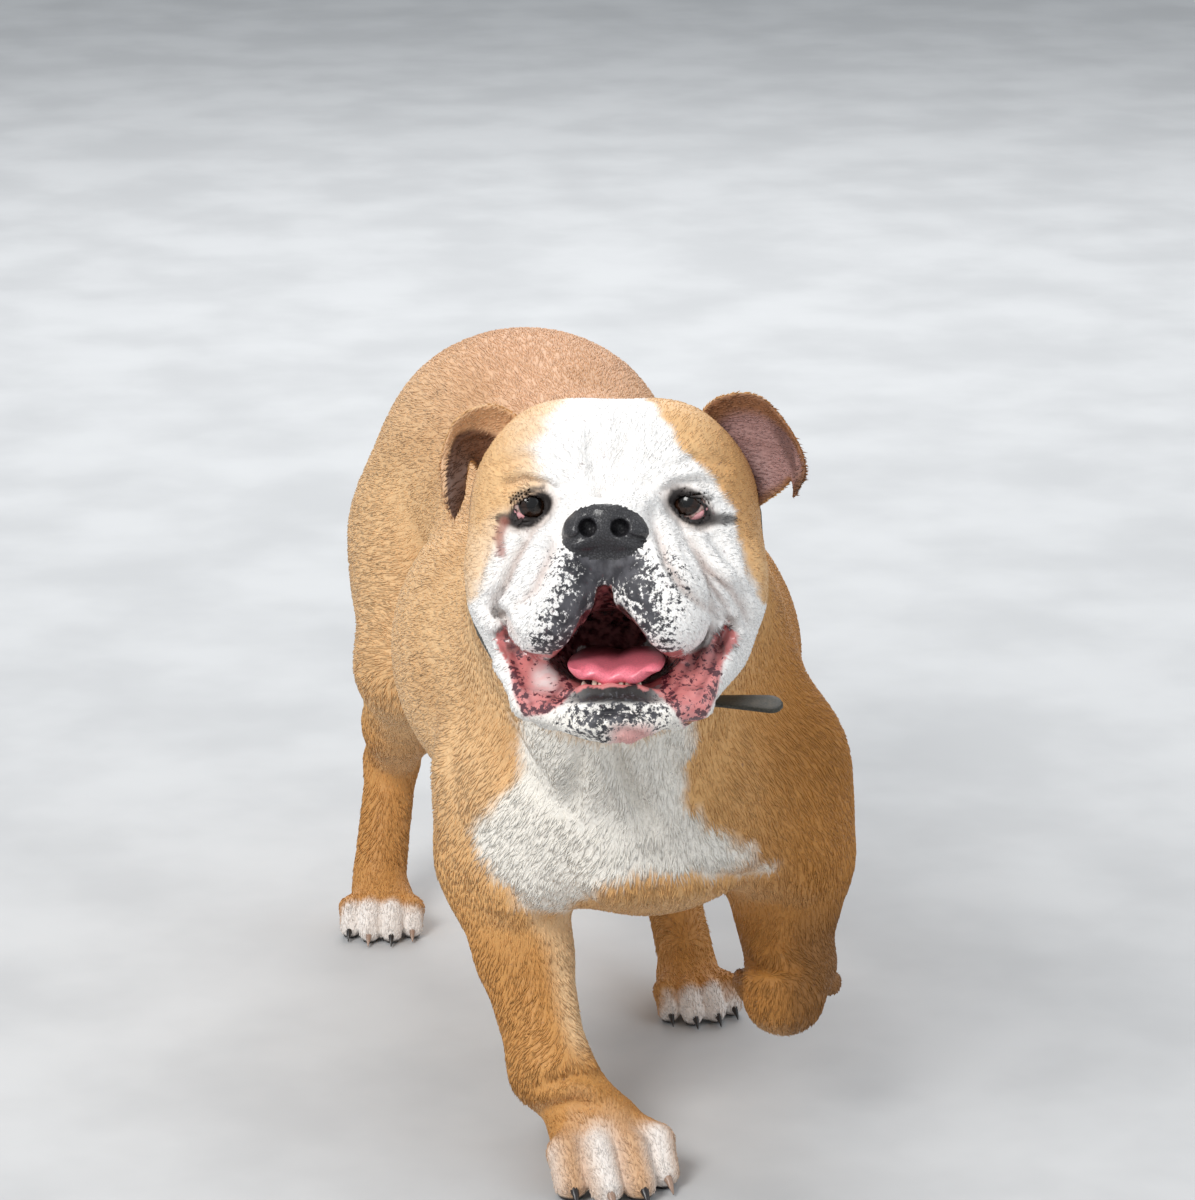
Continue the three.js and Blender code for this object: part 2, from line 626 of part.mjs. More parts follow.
// Each standing paw ends at a cut across its leg, which leans back by this many degrees
const PAW_LEAN = { foreRight: 24, hindRight: 28, hindLeft: 50 };
const PAW_TOP = [20, 38];
const pawZones = Object.fromEntries(
  Object.entries(PAW_LEAN).map(([name, lean]) => {
    const [c, q] = [Math.cos(radians(lean)), Math.sin(radians(lean))];
    const zone = (grow) => {
      const [y, z] = [PAW_TOP[0] + q * grow, PAW_TOP[1] + c * grow];
      const [front, back] = [[y - 62 * c, z + 62 * q], [y + 62 * c, z - 62 * q]];
      const side = 48 + grow;
      return slab([front, [-100, front[1]], [-100, -60], [back[0], -60], back], -side, side, PAWS[name]);
    };
    return [name, zone];
  }),
);
pawZones.foreLeft = (grow) => block([94, 190, 120], [109, -66, 84], [-40, 0, 0], grow);

// Body
const bodyBox = boxOf(flesh.filter((f) => !f.cut));
const wholeBody = mesh(BODY_MESH, bodyBox, {
  outside: (x, y, z) => -beyondNape(vec([x, y, z]), 8),
});
const floor = block([2000, 3000, 100], [0, 0, -50]);

const parts = {};
let rest = wholeBody.subtract(floor).subtract(headZone(GAP));
for (const zone of Object.values(pawZones)) rest = rest.subtract(zone(GAP));
rest = whole(rest);

const cutters = {
  neck: (g) => block([360, 200, 330], [-10, -128, 360], [-38, 0, 0], g),
  tail: (g) => block([70, 60, 110], [0, BODY_END + 22, CROUP - 96], [12, 0, 0], g),
  fore_leg_right: (g) => block([190, 240, 230], [-100, -40, 55], [0, 25, 0], g),
  fore_leg_left: (g) => block([180, 240, 230], [110, -30, 58], [0, -25, 0], g),
  hind_leg_right: (g) => block([160, 230, 250], [-128, 380, 100], [-14, 0, 0], g),
  hind_leg_left: (g) => block([150, 260, 230], [112, 240, 90], [-14, 0, 0], g),
};
for (const [name, cutter] of Object.entries(cutters)) [rest, parts[name]] = part(rest, cutter);
parts.torso = rest;

// Paws with their claws
function claw(place, x, reach, long) {
  const root = vec([x, -reach + 2, TOE_HEIGHT + 3]);
  const bend = vec([x * 1.02, -reach - 9 - long * 0.3, TOE_HEIGHT + 1]);
  const tip = vec([x * 1.04, -reach - 8 - long, TOE_HEIGHT - 7]);
  const across = new THREE.Vector3(1, 0, 0);
  const up = new THREE.Vector3(0, 0.35, 1).normalize();
  const curve = new THREE.QuadraticBezierCurve3(root, bend, tip);
  const rings = [0, 0.6, 1].map((t, i) => {
    const wide = [4.2, 3.2, 0.8][i];
    return ringPoints(curve.getPoint(t), across, up, wide * 0.8, wide, 6).map((p) => p.applyMatrix4(place));
  });
  return solid(tube(rings));
}
const pawNames = {
  foreRight: "fore_paw_right",
  foreLeft: "fore_paw_left",
  hindRight: "hind_paw_right",
  hindLeft: "hind_paw_left",
};
for (const [key, place] of Object.entries(PAWS)) {
  const { min, max } = pawZones[key](0).boundingBox();
  const box = new THREE.Box3(vec(min), vec(max)).intersect(bodyBox);
  let paw = mesh(PAW_MESH, box).intersect(pawZones[key](0)).subtract(floor);
  for (const { x, reach } of TOES) paw = paw.add(claw(place, x, reach, 9));
  parts[pawNames[key]] = whole(paw.subtract(floor));
}

// Head with its lids, lower jaw with its teeth
const headBox = boxOf(head().filter((f) => !f.cut), 2);
const headMesh = mesh(HEAD_MESH, headBox, { outside: (x, y, z) => beyondNape(vec([x, y, z]), -6) });
let skull = whole(headMesh.intersect(headZone(0)));

const eyeAt = (s) => [(s * EYE_SPACING) / 2, 0, 0];
// Each lid's opening: its middle, its half sizes, and how far its outer corner is turned down
const OPENINGS = { left: [46.6, -14, -2], right: [-45.4, -14, -3.4] };
const OPENING_SIZE = [9.4, 11, 5.6];
const OPENING_TURN = 36;
const lids = (s) => {
  const shell = ball(eyeAt(s), Array(3).fill(EYE_RADIUS + 2.4), headFrame, 9, 16);
  const middle = OPENINGS[s > 0 ? "left" : "right"];
  const turned = headFrame
    .clone()
    .multiply(new THREE.Matrix4().makeTranslation(...middle))
    .multiply(new THREE.Matrix4().makeRotationY(radians(s * OPENING_TURN)));
  return shell.subtract(ball([0, 0, 0], OPENING_SIZE, turned, 7, 14));
};
for (const s of [1, -1]) {
  const side = s > 0 ? "left" : "right";
  const room = ball(eyeAt(s), Array(3).fill(EYE_RADIUS + GAP), headFrame, 9, 14);
  skull = skull.add(lids(s)).subtract(room);
  parts[`eye_${side}`] = ball(eyeAt(s), Array(3).fill(EYE_RADIUS), headFrame, 9, 14);
}
skull = whole(skull);

// The lips part along this line, in y and z of the head's frame; behind the corners it runs to the throat
const LIP_LINE = [[-130, -99], [-56, -97], [-40, -96], [-14, -77], [0, -70], [22, -78], [60, -118], [84, -190]];
const jawZone = (grow) =>
  slab([...LIP_LINE.map(([y, z]) => [y, z + 1.5 * grow]), [-130, -190]], -150, 150, headFrame);
let jaw;
[skull, jaw] = part(skull, jawZone);

const noseZone = (grow) =>
  ball([NOSE[0], NOSE[1] - 4, NOSE[2] - 2], [27 + grow, 17 + grow, 16.5 + grow], headFrame, 7, 14);
[skull, parts.nose] = part(skull, noseZone);

function tongue(grow) {
  const rings = [0, 0.2, 0.45, 0.7, 0.9, 1].map((t) => {
    const y = 16 - 74 * t;
    const z = -90 - 5 * t - 4 * t * t;
    const wide = (t === 1 ? 20 : 22 + 6 * Math.sin(Math.PI * t * 0.8)) + grow;
    const thick = (t === 1 ? 3 : 7 - 1.5 * t) + grow;
    const count = 14;
    return Array.from({ length: count }, (_, i) => {
      const angle = (2 * Math.PI * i) / count;
      const [c, q] = [Math.cos(angle), Math.sin(angle)];
      const groove = q > 0 ? 1.6 * Math.exp(-((c * 4) ** 2)) : 0;
      const end = t === 0 ? grow : t === 1 ? -grow : 0;
      return vec([JAW_SHIFT + 2 + wide * c, y + end, z + thick * q - groove + 4 * c * c]).applyMatrix4(headFrame);
    });
  });
  return solid(tube(rings));
}
parts.tongue = tongue(0);
const tongueRoom = tongue(GAP);
jaw = whole(jaw.subtract(tongueRoom));
skull = whole(skull.subtract(tongueRoom));

// Six lower incisors and two canines, rooted in the gum behind the lip
const TEETH = [-15, -9, -5.4, -1.8, 1.8, 5.4, 9, 15];
for (const x of TEETH) {
  const canine = Math.abs(x) > 12;
  const y = -52 + (x * x) / 30;
  const tall = canine ? 13 : 14;
  const rings = [0, 0.6, 1].map((t) => {
    const wide = (canine ? 2.6 : 1.7) * (1 - 0.35 * t);
    return ringPoints(
      vec([JAW_SHIFT + x, y, -117 + tall * t]), new THREE.Vector3(1, 0, 0), new THREE.Vector3(0, 1, 0), wide, wide * 0.8, 6,
    ).map((p) => p.applyMatrix4(headFrame));
  });
  jaw = jaw.add(solid(tube(rings)).subtract(tongueRoom));
}
parts.lower_jaw = whole(jaw.subtract(parts.tongue));

// Ears: sheets spread over rows from root to tip, each row from the upper rim to the lower one
const EARS = {
  left: [
    [[44, 52, 44], [62, 62, 24], [74, 46, -8]],
    [[60, 46, 62], [76, 58, 34], [86, 42, 0]],
    [[84, 40, 64], [90, 52, 34], [98, 40, 8]],
    [[102, 32, 46], [104, 40, 32], [104, 36, 14]],
    [[113, 26, 22], [109, 30, 18], [106, 30, 10]],
    [[107, 22, 5], [106.5, 23, 4.5], [106, 24, 4]],
  ],
  right: [
    [[-46, 54, 44], [-58, 58, 28], [-64, 44, 10]],
    [[-72, 46, 59], [-78, 54, 38], [-78, 40, 20]],
    [[-93, 36, 50], [-92, 42, 36], [-84, 32, 26]],
    [[-101, 28, 28], [-94, 28, 22], [-86, 26, 18]],
    [[-100, 24, 8], [-94, 22, 4], [-88, 24, 4]],
    [[-94, 22, -8], [-93.5, 22, -8.5], [-93, 22, -8]],
  ],
};
function ear(rows, grow) {
  const columns = [0, 1, 2].map((c) => new THREE.CatmullRomCurve3(rows.map((r) => vec(r[c]))));
  const nu = 7;
  const nv = 11;
  const at = (u, v) => {
    const [a, b, c] = columns.map((curve) => curve.getPoint(v));
    return a.multiplyScalar((1 - u) * (1 - 2 * u)).addScaledVector(b, 4 * u * (1 - u)).addScaledVector(c, u * (2 * u - 1));
  };
  const points = [];
  for (const side of [1, -1])
    for (let j = 0; j < nv; j++)
      for (let i = 0; i < nu; i++) {
        const [u, v] = [i / (nu - 1), j / (nv - 1)];
        const h = 0.02;
        const du = at(Math.min(u + h, 1), v).sub(at(Math.max(u - h, 0), v));
        const dv = at(u, Math.min(v + h, 1)).sub(at(u, Math.max(v - h, 0)));
        const normal = du.cross(dv).normalize();
        const thick = (1 + 1.4 * (1 - v)) * (0.65 + 0.35 * Math.sin(Math.PI * u)) + grow;
        points.push(at(u, v).addScaledVector(normal, side * thick).applyMatrix4(headFrame).toArray());
      }
  const triangles = [];
  const back = nu * nv;
  const quad = (a, b, c, d) => triangles.push([a, b, c], [a, c, d]);
  for (let j = 0; j + 1 < nv; j++)
    for (let i = 0; i + 1 < nu; i++) {
      const [a, b, c, d] = [j * nu + i, j * nu + i + 1, (j + 1) * nu + i + 1, (j + 1) * nu + i];
      triangles.push([a, b, c], [a, c, d], [a + back, c + back, b + back], [a + back, d + back, c + back]);
    }
  for (let j = 0; j + 1 < nv; j++) {
    const [a, b] = [j * nu, (j + 1) * nu];
    quad(a, b, b + back, a + back);
    quad(a + nu - 1, a + nu - 1 + back, b + nu - 1 + back, b + nu - 1);
  }
  for (let i = 0; i + 1 < nu; i++) {
    const t = (nv - 1) * nu + i;
    quad(i, i + back, i + 1 + back, i + 1);
    quad(t, t + 1, t + 1 + back, t + back);
  }
  return solid(outward({ points, triangles }));
}
for (const [side, rows] of Object.entries(EARS)) {
  parts[`ear_${side}`] = ear(rows, 0);
  skull = whole(skull.subtract(ear(rows, GAP)));
}
parts.head = skull;

// The collar lies around the neck close behind the jaws; its loose end sticks out on the left
const COLLAR = { at: [0, 86, -34], lean: -12, width: 24, thickness: 3 };
const collarFrame = headFrame
  .clone()
  .multiply(new THREE.Matrix4().makeTranslation(...COLLAR.at))
  .multiply(new THREE.Matrix4().makeRotationX(radians(COLLAR.lean)));
function collarBand() {
  const count = 36;
  const low = [];
  for (let i = 0; i < count; i++) {
    const angle = (2 * Math.PI * i) / count;
    const around = [-1, 1].map((side) => {
      let r = 40;
      const p = (q) => vec([q * Math.cos(angle), (side * COLLAR.width) / 2, q * Math.sin(angle)]).applyMatrix4(collarFrame);
      while (r < 200 && fieldAt(p(r)) < 0.9) r += 0.25;
      return r;
    });
    low.push(around);
  }
  const smooth = low.map((_, i) => [0, 1].map((k) =>
    Math.max(...[-1, 0, 1].map((d) => low[(i + d + count) % count][k])) ));
  const point = (i, k, out) => {
    const angle = (2 * Math.PI * i) / count;
    const r = smooth[i][k] + out;
    return vec([r * Math.cos(angle), ((k ? 1 : -1) * COLLAR.width) / 2, r * Math.sin(angle)]).applyMatrix4(collarFrame);
  };
  const points = [];
  for (let i = 0; i < count; i++)
    points.push(point(i, 0, 0), point(i, 1, 0), point(i, 1, COLLAR.thickness), point(i, 0, COLLAR.thickness));
  const triangles = [];
  for (let i = 0; i < count; i++)
    for (let k = 0; k < 4; k++) {
      const [a, b] = [4 * i + k, 4 * i + ((k + 1) % 4)];
      const [c, d] = [4 * ((i + 1) % count) + ((k + 1) % 4), 4 * ((i + 1) % count) + k];
      triangles.push([a, b, c], [a, c, d]);
    }
  return solid(outward({ points: points.map((p) => p.toArray()), triangles }));
}
parts.collar_band = whole(collarBand().subtract(parts.head).subtract(parts.lower_jaw).subtract(parts.neck));

// The loose end, from under the throat out to the left, turning its flat side to the front
function collarEnd() {
  const rings = [0, 0.25, 0.5, 0.75, 0.94, 1].map((t) => {
    const at = vec([22 + 78 * t, 74 - 6 * t, -117 - 3 * t * t]);
    const turn = radians(30 * t);
    const flat = new THREE.Vector3(0, Math.cos(turn), Math.sin(turn));
    const thick = new THREE.Vector3(0, -Math.sin(turn), Math.cos(turn));
    const wide = t === 1 ? 6 : 10;
    return [[-1, -1], [1, -1], [1, 1], [-1, 1]].map(([a, b]) =>
      at.clone().addScaledVector(flat, a * wide).addScaledVector(thick, b * 1.4).applyMatrix4(headFrame),
    );
  });
  return solid(tube(rings));
}
parts.collar_end = collarEnd();

// Where two nodes would still share space, the later one gives way
const names = Object.keys(parts);
names.forEach((name, i) => {
  for (const before of names.slice(0, i))
    if (parts[name].intersect(parts[before]).volume() > 1e-4) {
      parts[name] = whole(parts[name].subtract(parts[before]));
    }
});

const COLOURS = {
  fawn: { color: 0xc98a4b, roughness: 0.9 },
  white: { color: 0xf0e9e0, roughness: 0.9 },
  brown: { color: 0x8a5a34, roughness: 0.9 },
  charcoal: { color: 0x2b2a2d, roughness: 0.45 },
  pink: { color: 0xd4686f, roughness: 0.4 },
  eye: { color: 0x1c1410, roughness: 0.1 },
  strap: { color: 0x2f2a1e, roughness: 0.7 },
};
const FINISH = {
  head: "white", lower_jaw: "white", nose: "charcoal", tongue: "pink",
  eye_left: "eye", eye_right: "eye", ear_left: "brown", ear_right: "brown", collar_band: "strap",
  collar_end: "strap",
};
const group = new THREE.Group();
group.name = "english_bulldog";
const box = new THREE.Box3();
for (const [name, manifold] of Object.entries(parts)) {
  const { vertProperties, triVerts } = manifold.getMesh();
  const geometry = new THREE.BufferGeometry()
    .setAttribute("position", new THREE.BufferAttribute(new Float32Array(vertProperties), 3))
    .setIndex(new THREE.BufferAttribute(new Uint32Array(triVerts), 1));
  const colour = COLOURS[FINISH[name] ?? "fawn"];
  const piece = new THREE.Mesh(geometry, new THREE.MeshStandardMaterial({ metalness: 0, ...colour }));
  piece.name = name;
  group.add(piece);
  box.expandByObject(piece);
}
const middle = box.getCenter(new THREE.Vector3());
for (const piece of group.children) piece.geometry.translate(-middle.x, -middle.y, -box.min.z);
export default group;
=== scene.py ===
"""A walking english bulldog as a life-size museum model: skin, coat, eyes, mouth, claws and collar."""

import json
import math

import bpy
import numpy as np
from mathutils import Matrix, Vector

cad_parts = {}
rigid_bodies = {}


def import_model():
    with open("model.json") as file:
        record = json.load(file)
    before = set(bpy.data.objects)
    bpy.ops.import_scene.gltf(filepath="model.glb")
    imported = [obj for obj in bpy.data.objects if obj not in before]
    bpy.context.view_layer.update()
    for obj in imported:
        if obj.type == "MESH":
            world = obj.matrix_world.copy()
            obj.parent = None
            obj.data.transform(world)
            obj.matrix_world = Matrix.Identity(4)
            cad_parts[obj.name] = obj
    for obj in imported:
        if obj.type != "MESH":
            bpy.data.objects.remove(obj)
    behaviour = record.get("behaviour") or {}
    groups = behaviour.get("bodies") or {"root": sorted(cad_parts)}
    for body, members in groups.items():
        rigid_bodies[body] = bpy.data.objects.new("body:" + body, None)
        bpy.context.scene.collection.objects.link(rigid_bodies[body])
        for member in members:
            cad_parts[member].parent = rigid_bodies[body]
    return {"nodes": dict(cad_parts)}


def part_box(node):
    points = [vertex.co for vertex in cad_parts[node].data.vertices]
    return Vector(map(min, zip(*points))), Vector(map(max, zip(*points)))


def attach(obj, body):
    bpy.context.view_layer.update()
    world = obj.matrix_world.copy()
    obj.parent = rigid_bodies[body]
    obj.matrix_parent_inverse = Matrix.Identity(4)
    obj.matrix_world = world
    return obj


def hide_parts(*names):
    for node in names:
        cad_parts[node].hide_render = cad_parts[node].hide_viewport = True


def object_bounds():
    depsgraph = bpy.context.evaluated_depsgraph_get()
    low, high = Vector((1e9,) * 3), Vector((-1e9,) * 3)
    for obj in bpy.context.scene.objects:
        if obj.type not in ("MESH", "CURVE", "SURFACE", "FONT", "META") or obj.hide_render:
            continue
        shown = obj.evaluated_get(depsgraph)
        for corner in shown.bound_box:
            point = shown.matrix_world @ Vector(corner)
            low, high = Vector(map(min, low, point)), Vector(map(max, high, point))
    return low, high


for thing in list(bpy.data.objects):
    bpy.data.objects.remove(thing)
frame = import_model()
CAD_BOX = [list(v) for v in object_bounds()]
rng = np.random.default_rng(7)

# Sizes, in millimetres, in the dog's own frame: shoulder joints over y = 0, floor at z = 0
WITHERS, CROUP, BRISKET = 400, 438, 152
CHEST_WIDTH, RIB_WIDTH, HIP_WIDTH = 286, 272, 264
LEAN, BODY_END, CHEST_FRONT = 14, 480, 104
SKULL_WIDTH, FACE_WIDTH = 150, 180
EYE_SPACING, EYE_RADIUS = 94, 12.5
PAW_WIDTH, HIND_SIZE, LIFTED_SIZE = 86, 0.74, 0.86
JAW_SHIFT = 3
# How far the skin lies inside the solids, on the body and on the face and feet
COAT_DEPTH, FACE_DEPTH = 2.0, 0.8


def frame_of(at, yaw=0, pitch=0, roll=0, scale=1):
    """A part's own frame, turned to the dog's left by yaw, nose up by pitch, rolled, and scaled."""
    turn = (
        Matrix.Rotation(math.radians(-yaw), 4, "Z")
        @ Matrix.Rotation(math.radians(-pitch), 4, "X")
        @ Matrix.Rotation(math.radians(roll), 4, "Y")
    )
    return Matrix.Translation(at) @ turn @ Matrix.Scale(scale, 4)


HEAD = frame_of((-42, -195, 467), yaw=12.8, pitch=15.5, roll=-1.1)
HEAD_BACK = HEAD.inverted()
STANCE = {
    "fore_right": dict(shoulder=(-74, 0, 235), elbow=(-78, 14, 178), wrist=(-60, -72, 64), paw=(-30, -98, 0)),
    "fore_left": dict(shoulder=(94, 0, 235), elbow=(108, 6, 170), wrist=(94, -56, 98), paw=(104, -11, 113)),
    "hind_right": dict(hip=(-76, 380, 290), knee=(-96, 322, 212), hock=(-102, 424, 106), paw=(-117, 362, 0)),
    "hind_left": dict(hip=(76, 355, 290), knee=(90, 252, 225), hock=(70, 294, 102), paw=(76, 172, 0)),
}
PAW_SCALE = PAW_WIDTH / 80
PAWS = {
    "fore_right": frame_of(STANCE["fore_right"]["paw"], yaw=-8, scale=PAW_SCALE),
    "fore_left": frame_of(STANCE["fore_left"]["paw"], yaw=-4, pitch=-125, scale=PAW_SCALE * LIFTED_SIZE),
    "hind_right": frame_of(STANCE["hind_right"]["paw"], yaw=10, scale=PAW_SCALE * HIND_SIZE),
    "hind_left": frame_of(STANCE["hind_left"]["paw"], yaw=-6, scale=PAW_SCALE * HIND_SIZE),
}
TOES = [(-28, 26, -13), (-10, 38, -5), (10, 38, 5), (28, 26, 13)]
TOE_RADIUS, TOE_HEIGHT = 10.5, 9

# The row's origin against the dog's own frame, from the left eye
eye_low, eye_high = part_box("eye_left")
EYE_ROW = (Vector(eye_low) + Vector(eye_high)) / 2 * 1000
SHIFT = HEAD @ Vector((EYE_SPACING / 2, 0, 0)) - EYE_ROW


# Forms: rounded bodies with the distance to their surface
class Form:
    """A rounded body, added to the others or cut from them, with a soft join as wide as its blend."""

    def __init__(self, centre, reach, distance, blend, cut):
        self.centre, self.reach, self.distance = np.array(centre), reach, distance
        self.blend, self.cut = blend, cut


ONE = Matrix.Identity(4)


def egg(at, radii, blend=12, cut=False, tilt=(0, 0, 0), within=ONE):
    """An ellipsoid, tilted about its three axes, in the frame of the part it belongs to."""
    rx, ry, rz = radii
    turn = (
        Matrix.Rotation(math.radians(tilt[0]), 4, "X")
        @ Matrix.Rotation(math.radians(tilt[1]), 4, "Y")
        @ Matrix.Rotation(math.radians(tilt[2]), 4, "Z")
    )
    place = within @ Matrix.Translation(at) @ turn
    scale = within.median_scale
    back = np.array(place.inverted())

    def distance(x, y, z):
        px, py, pz = (back[i][0] * x + back[i][1] * y + back[i][2] * z + back[i][3] for i in range(3))
        px, py, pz = px / rx, py / ry, pz / rz
        near = np.sqrt(px * px + py * py + pz * pz)
        steep = np.sqrt((px / rx) ** 2 + (py / ry) ** 2 + (pz / rz) ** 2) + 1e-9
        return near * (near - 1) / steep * scale

    return Form(place.translation, max(radii) * scale, distance, blend, cut)


def rod(a, b, ra, rb, blend=12, cut=False, within=ONE):
    """A round rod from a to b with a ball at each end, thinning from one radius to the other."""
    scale = within.median_scale
    p, q = np.array(within @ Vector(a)), np.array(within @ Vector(b))
    r1, r2 = ra * scale, rb * scale
    d = q - p
    length = np.linalg.norm(d)
    n = d / length
    slope = (r1 - r2) / length
    rise = math.sqrt(max(0.0, 1 - slope * slope))

    def distance(x, y, z):
        vx, vy, vz = x - p[0], y - p[1], z - p[2]
        along = vx * n[0] + vy * n[1] + vz * n[2]
        off = np.sqrt(np.maximum(vx * vx + vy * vy + vz * vz - along * along, 0))
        t = along - off * slope / rise
        middle = off * rise + along * slope - r1
        first = np.sqrt(off * off + along * along) - r1
        last = np.sqrt(off * off + (along - length) ** 2) - r2
        return np.where(t <= 0, first, np.where(t >= length, last, middle))

    return Form((p + q) / 2, length / 2 + max(r1, r2), distance, blend, cut)


def chain(points, blend=12, **more):
    """Rods through points, each given with its radius."""
    return [rod(a[:3], b[:3], a[3], b[3], blend, **more) for a, b in zip(points, points[1:])]


def both(make):
    """The form or the forms that make gives, on the left (1) and on the right (-1)."""
    forms = []
    for s in (1, -1):
        made = make(s)
        forms += made if isinstance(made, list) else [made]
    return forms


def mix(a, b, t):
    """The point that lies a share t of the way from a to b."""
    return tuple(p + (q - p) * t for p, q in zip(a, b))


def torso():
    side, hip, shoulder = RIB_WIDTH / 2, HIP_WIDTH / 2, CHEST_WIDTH / 2 - 64
    return [
        egg((0, 118, 280), (side, 168, 120), 30),
        egg((6, 14 - CHEST_FRONT / 2, BRISKET + 88), (92, 84, 86), 30),
        egg((0, 30, WITHERS - 72), (80, 96, 72), 34),
        *both(lambda s: egg((LEAN + s * shoulder, 0, 220), (48, 72, 94), 30, tilt=(-12, s * -10, 0))),
        egg((0, 270, 330), (94, 140, 92), 34),
        egg((0, 210, 248), (92, 120, 60), 34),
        egg((-9, BODY_END - 108, CROUP - 92), (104, 108, 92), 34),
        *both(lambda s: egg((s * (hip - 60), BODY_END - 96, 280), (58, 66, 86), 30)),
        *both(lambda s: rod((s * 22 - 8, -92, 300), (s * 16 - 4, -98, 205), 22, 24, 16)),
    ]


def neck():
    return [
        rod((0, 22, 312), (-22, -92, 388), 104, 86, 30),
        rod((-22, -92, 388), (-28, -122, 420), 86, 78, 24),
        egg((-24, -100, 322), (60, 50, 70), 24),
    ]


def tail():
    return chain(
        [
            (0, BODY_END - 14, CROUP - 66, 22),
            (4, BODY_END + 12, CROUP - 88, 16),
            (-3, BODY_END + 20, CROUP - 114, 11),
            (2, BODY_END + 14, CROUP - 134, 6),
        ],
        8,
    )


NOSE = (-1, -45, -14)
# The middle line of the lower lip, and its radius there
LOWER_LIP = [(64, 2, -74, 10), (60, -16, -92, 9.5), (49, -38, -115, 9), (30, -52, -120, 9)]


def hollow(points, blend):
    """A groove or a hole cut into the head."""
    return chain(points, blend, cut=True, within=HEAD)


def slit(s, y):
    """A nostril's slit, out round the wing of the nose, at that depth."""
    inner, middle = (NOSE[0] + s * 11, y, -18.5, 2), (NOSE[0] + s * 19, y + 3, -20.5, 1.7)
    return hollow([inner, middle, (NOSE[0] + s * 26, y + 11, -19.5, 1.2)], 1)


def mouth_hollows():
    """The open mouth: the V between the upper lips, the hollow behind it, the gaps to the corners."""
    return [
        *hollow([(-1, -62, -52, 4), (0, -56, -70, 13), (2, -50, -84, 21)], 3),
        *hollow([(-1, -42, -52, 4.5), (0, -34, -68, 13), (2, -24, -80, 20)], 3),
        egg((JAW_SHIFT, -14, -84), (37, 44, 21), 4, True, within=HEAD),
        *both(
            lambda s: hollow(
                [(s * 22 + 4, -56, -97, 8), (s * 47 + 4, -40, -96, 8), (s * 64 + 4, -14, -77, 4.5)], 3
            )
        ),
    ]


def head():
    cheek, j = FACE_WIDTH / 2, JAW_SHIFT
    nose_x, nose_y, nose_z = NOSE

    def e(at, radii, blend):
        return egg(at, radii, blend, within=HEAD)

    def r(points, blend):
        return chain(points, blend, within=HEAD)

    return [
        # skull, brows, cheeks, the stop and the muzzle's root
        e((0, 62, 6), (SKULL_WIDTH / 2, 74, 56), 28),
        *both(lambda s: e((s * 31, 24, 22), (40, 40, 38), 26)),
        e((0, 14, 16), (40, 28, 30), 22),
        *both(lambda s: e((s * (cheek - 34), 46, -12), (30, 50, 46), 20)),
        *both(lambda s: e((s * (cheek - 28) + 2, 36, -50), (28, 42, 38), 18)),
        e((0, -8, -30), (50, 40, 34), 16),
        e((0, -24, -6), (25, 26, 15), 14),
        # flews and nose
        *both(lambda s: e((s * 28 - 1, -31, -50), (28, 32, 32), 9)),
        *both(lambda s: e((s * 35, -30, -66), (24, 31, 24), 9)),
        e((nose_x, nose_y + 6, nose_z), (20, 17, 15), 6),
        *both(lambda s: e((nose_x + s * 14, nose_y, nose_z - 3), (11, 12, 11.5), 5)),
        # folds beside the muzzle, from the inner corners of the eyes
        *both(lambda s: r([(s * 45, -16, -20, 9), (s * 60, -12, -44, 11), (s * 67, -6, -66, 11)], 7)),
        # lower jaw, chin and the hanging lower lips
        *both(lambda s: r([(s * 52 + j, 46, -84, 26), (s * 36 + j, -30, -116, 15)], 14)),
        e((j, 14, -116), (48, 56, 20), 16),
        e((j, -50, -122), (33, 20, 16), 9),
        e((j, -46, -112), (24, 9, 8), 5),
        *both(lambda s: r([(s * x + j, y, z, radius) for x, y, z, radius in LOWER_LIP], 6)),
        # cuts: sockets, the brow's furrow, nostrils with slits, line under the nose, mouth and its corners
        *both(lambda s: egg((s * EYE_SPACING / 2 + s, -15, -1), (13, 9, 9), 8, True, within=HEAD)),
        egg((0, -26, 28), (4, 9, 26), 14, True, within=HEAD),
        *both(
            lambda s: hollow([(nose_x + s * 10, -63, -14, 4.8), (nose_x + s * 9, -48, -13, 4.2)], 1.5)
            + slit(s, -61)
            + slit(s, -57)
        ),
        *hollow([(nose_x, -66, -12, 1.8), (nose_x, -64, -52, 2.6)], 4),
        *mouth_hollows(),
        *both(lambda s: hollow([(s * 62 + 2, -20, -56, 3), (s * 72 + 3, -4, -70, 3.5)], 5)),
    ]


def legs():
    forms = []
    for name, leg in STANCE.items():
        if name.startswith("fore"):
            half = mix(leg["elbow"], leg["wrist"], 0.45)
            forms += [
                rod(leg["shoulder"], leg["elbow"], 50, 40, 24),
                rod(leg["elbow"], half, 39, 31, 16),
                rod(half, leg["wrist"], 31, 25, 12),
            ]
        else:
            half = mix(leg["knee"], leg["hock"], 0.6)
            forms += [
                rod(leg["hip"], leg["knee"], 56, 42, 26),
                egg(mix(leg["hip"], leg["hock"], 0.35), (42, 60, 74), 22, tilt=(18, 0, 0)),
                rod(leg["knee"], half, 40, 27, 16),
                rod(half, leg["hock"], 27, 20, 12),
                rod(leg["hock"], (leg["paw"][0], leg["paw"][1] + 22, 30), 20, 20, 10),
            ]
    return forms


def wrists():
    tops = [(n, PAWS[n] @ Vector((0, 10, 28)), b) for n, b in (("fore_right", 14), ("fore_left", 12))]
    return [rod(STANCE[n]["wrist"], tuple(top), 25, 24, b) for n, top, b in tops]


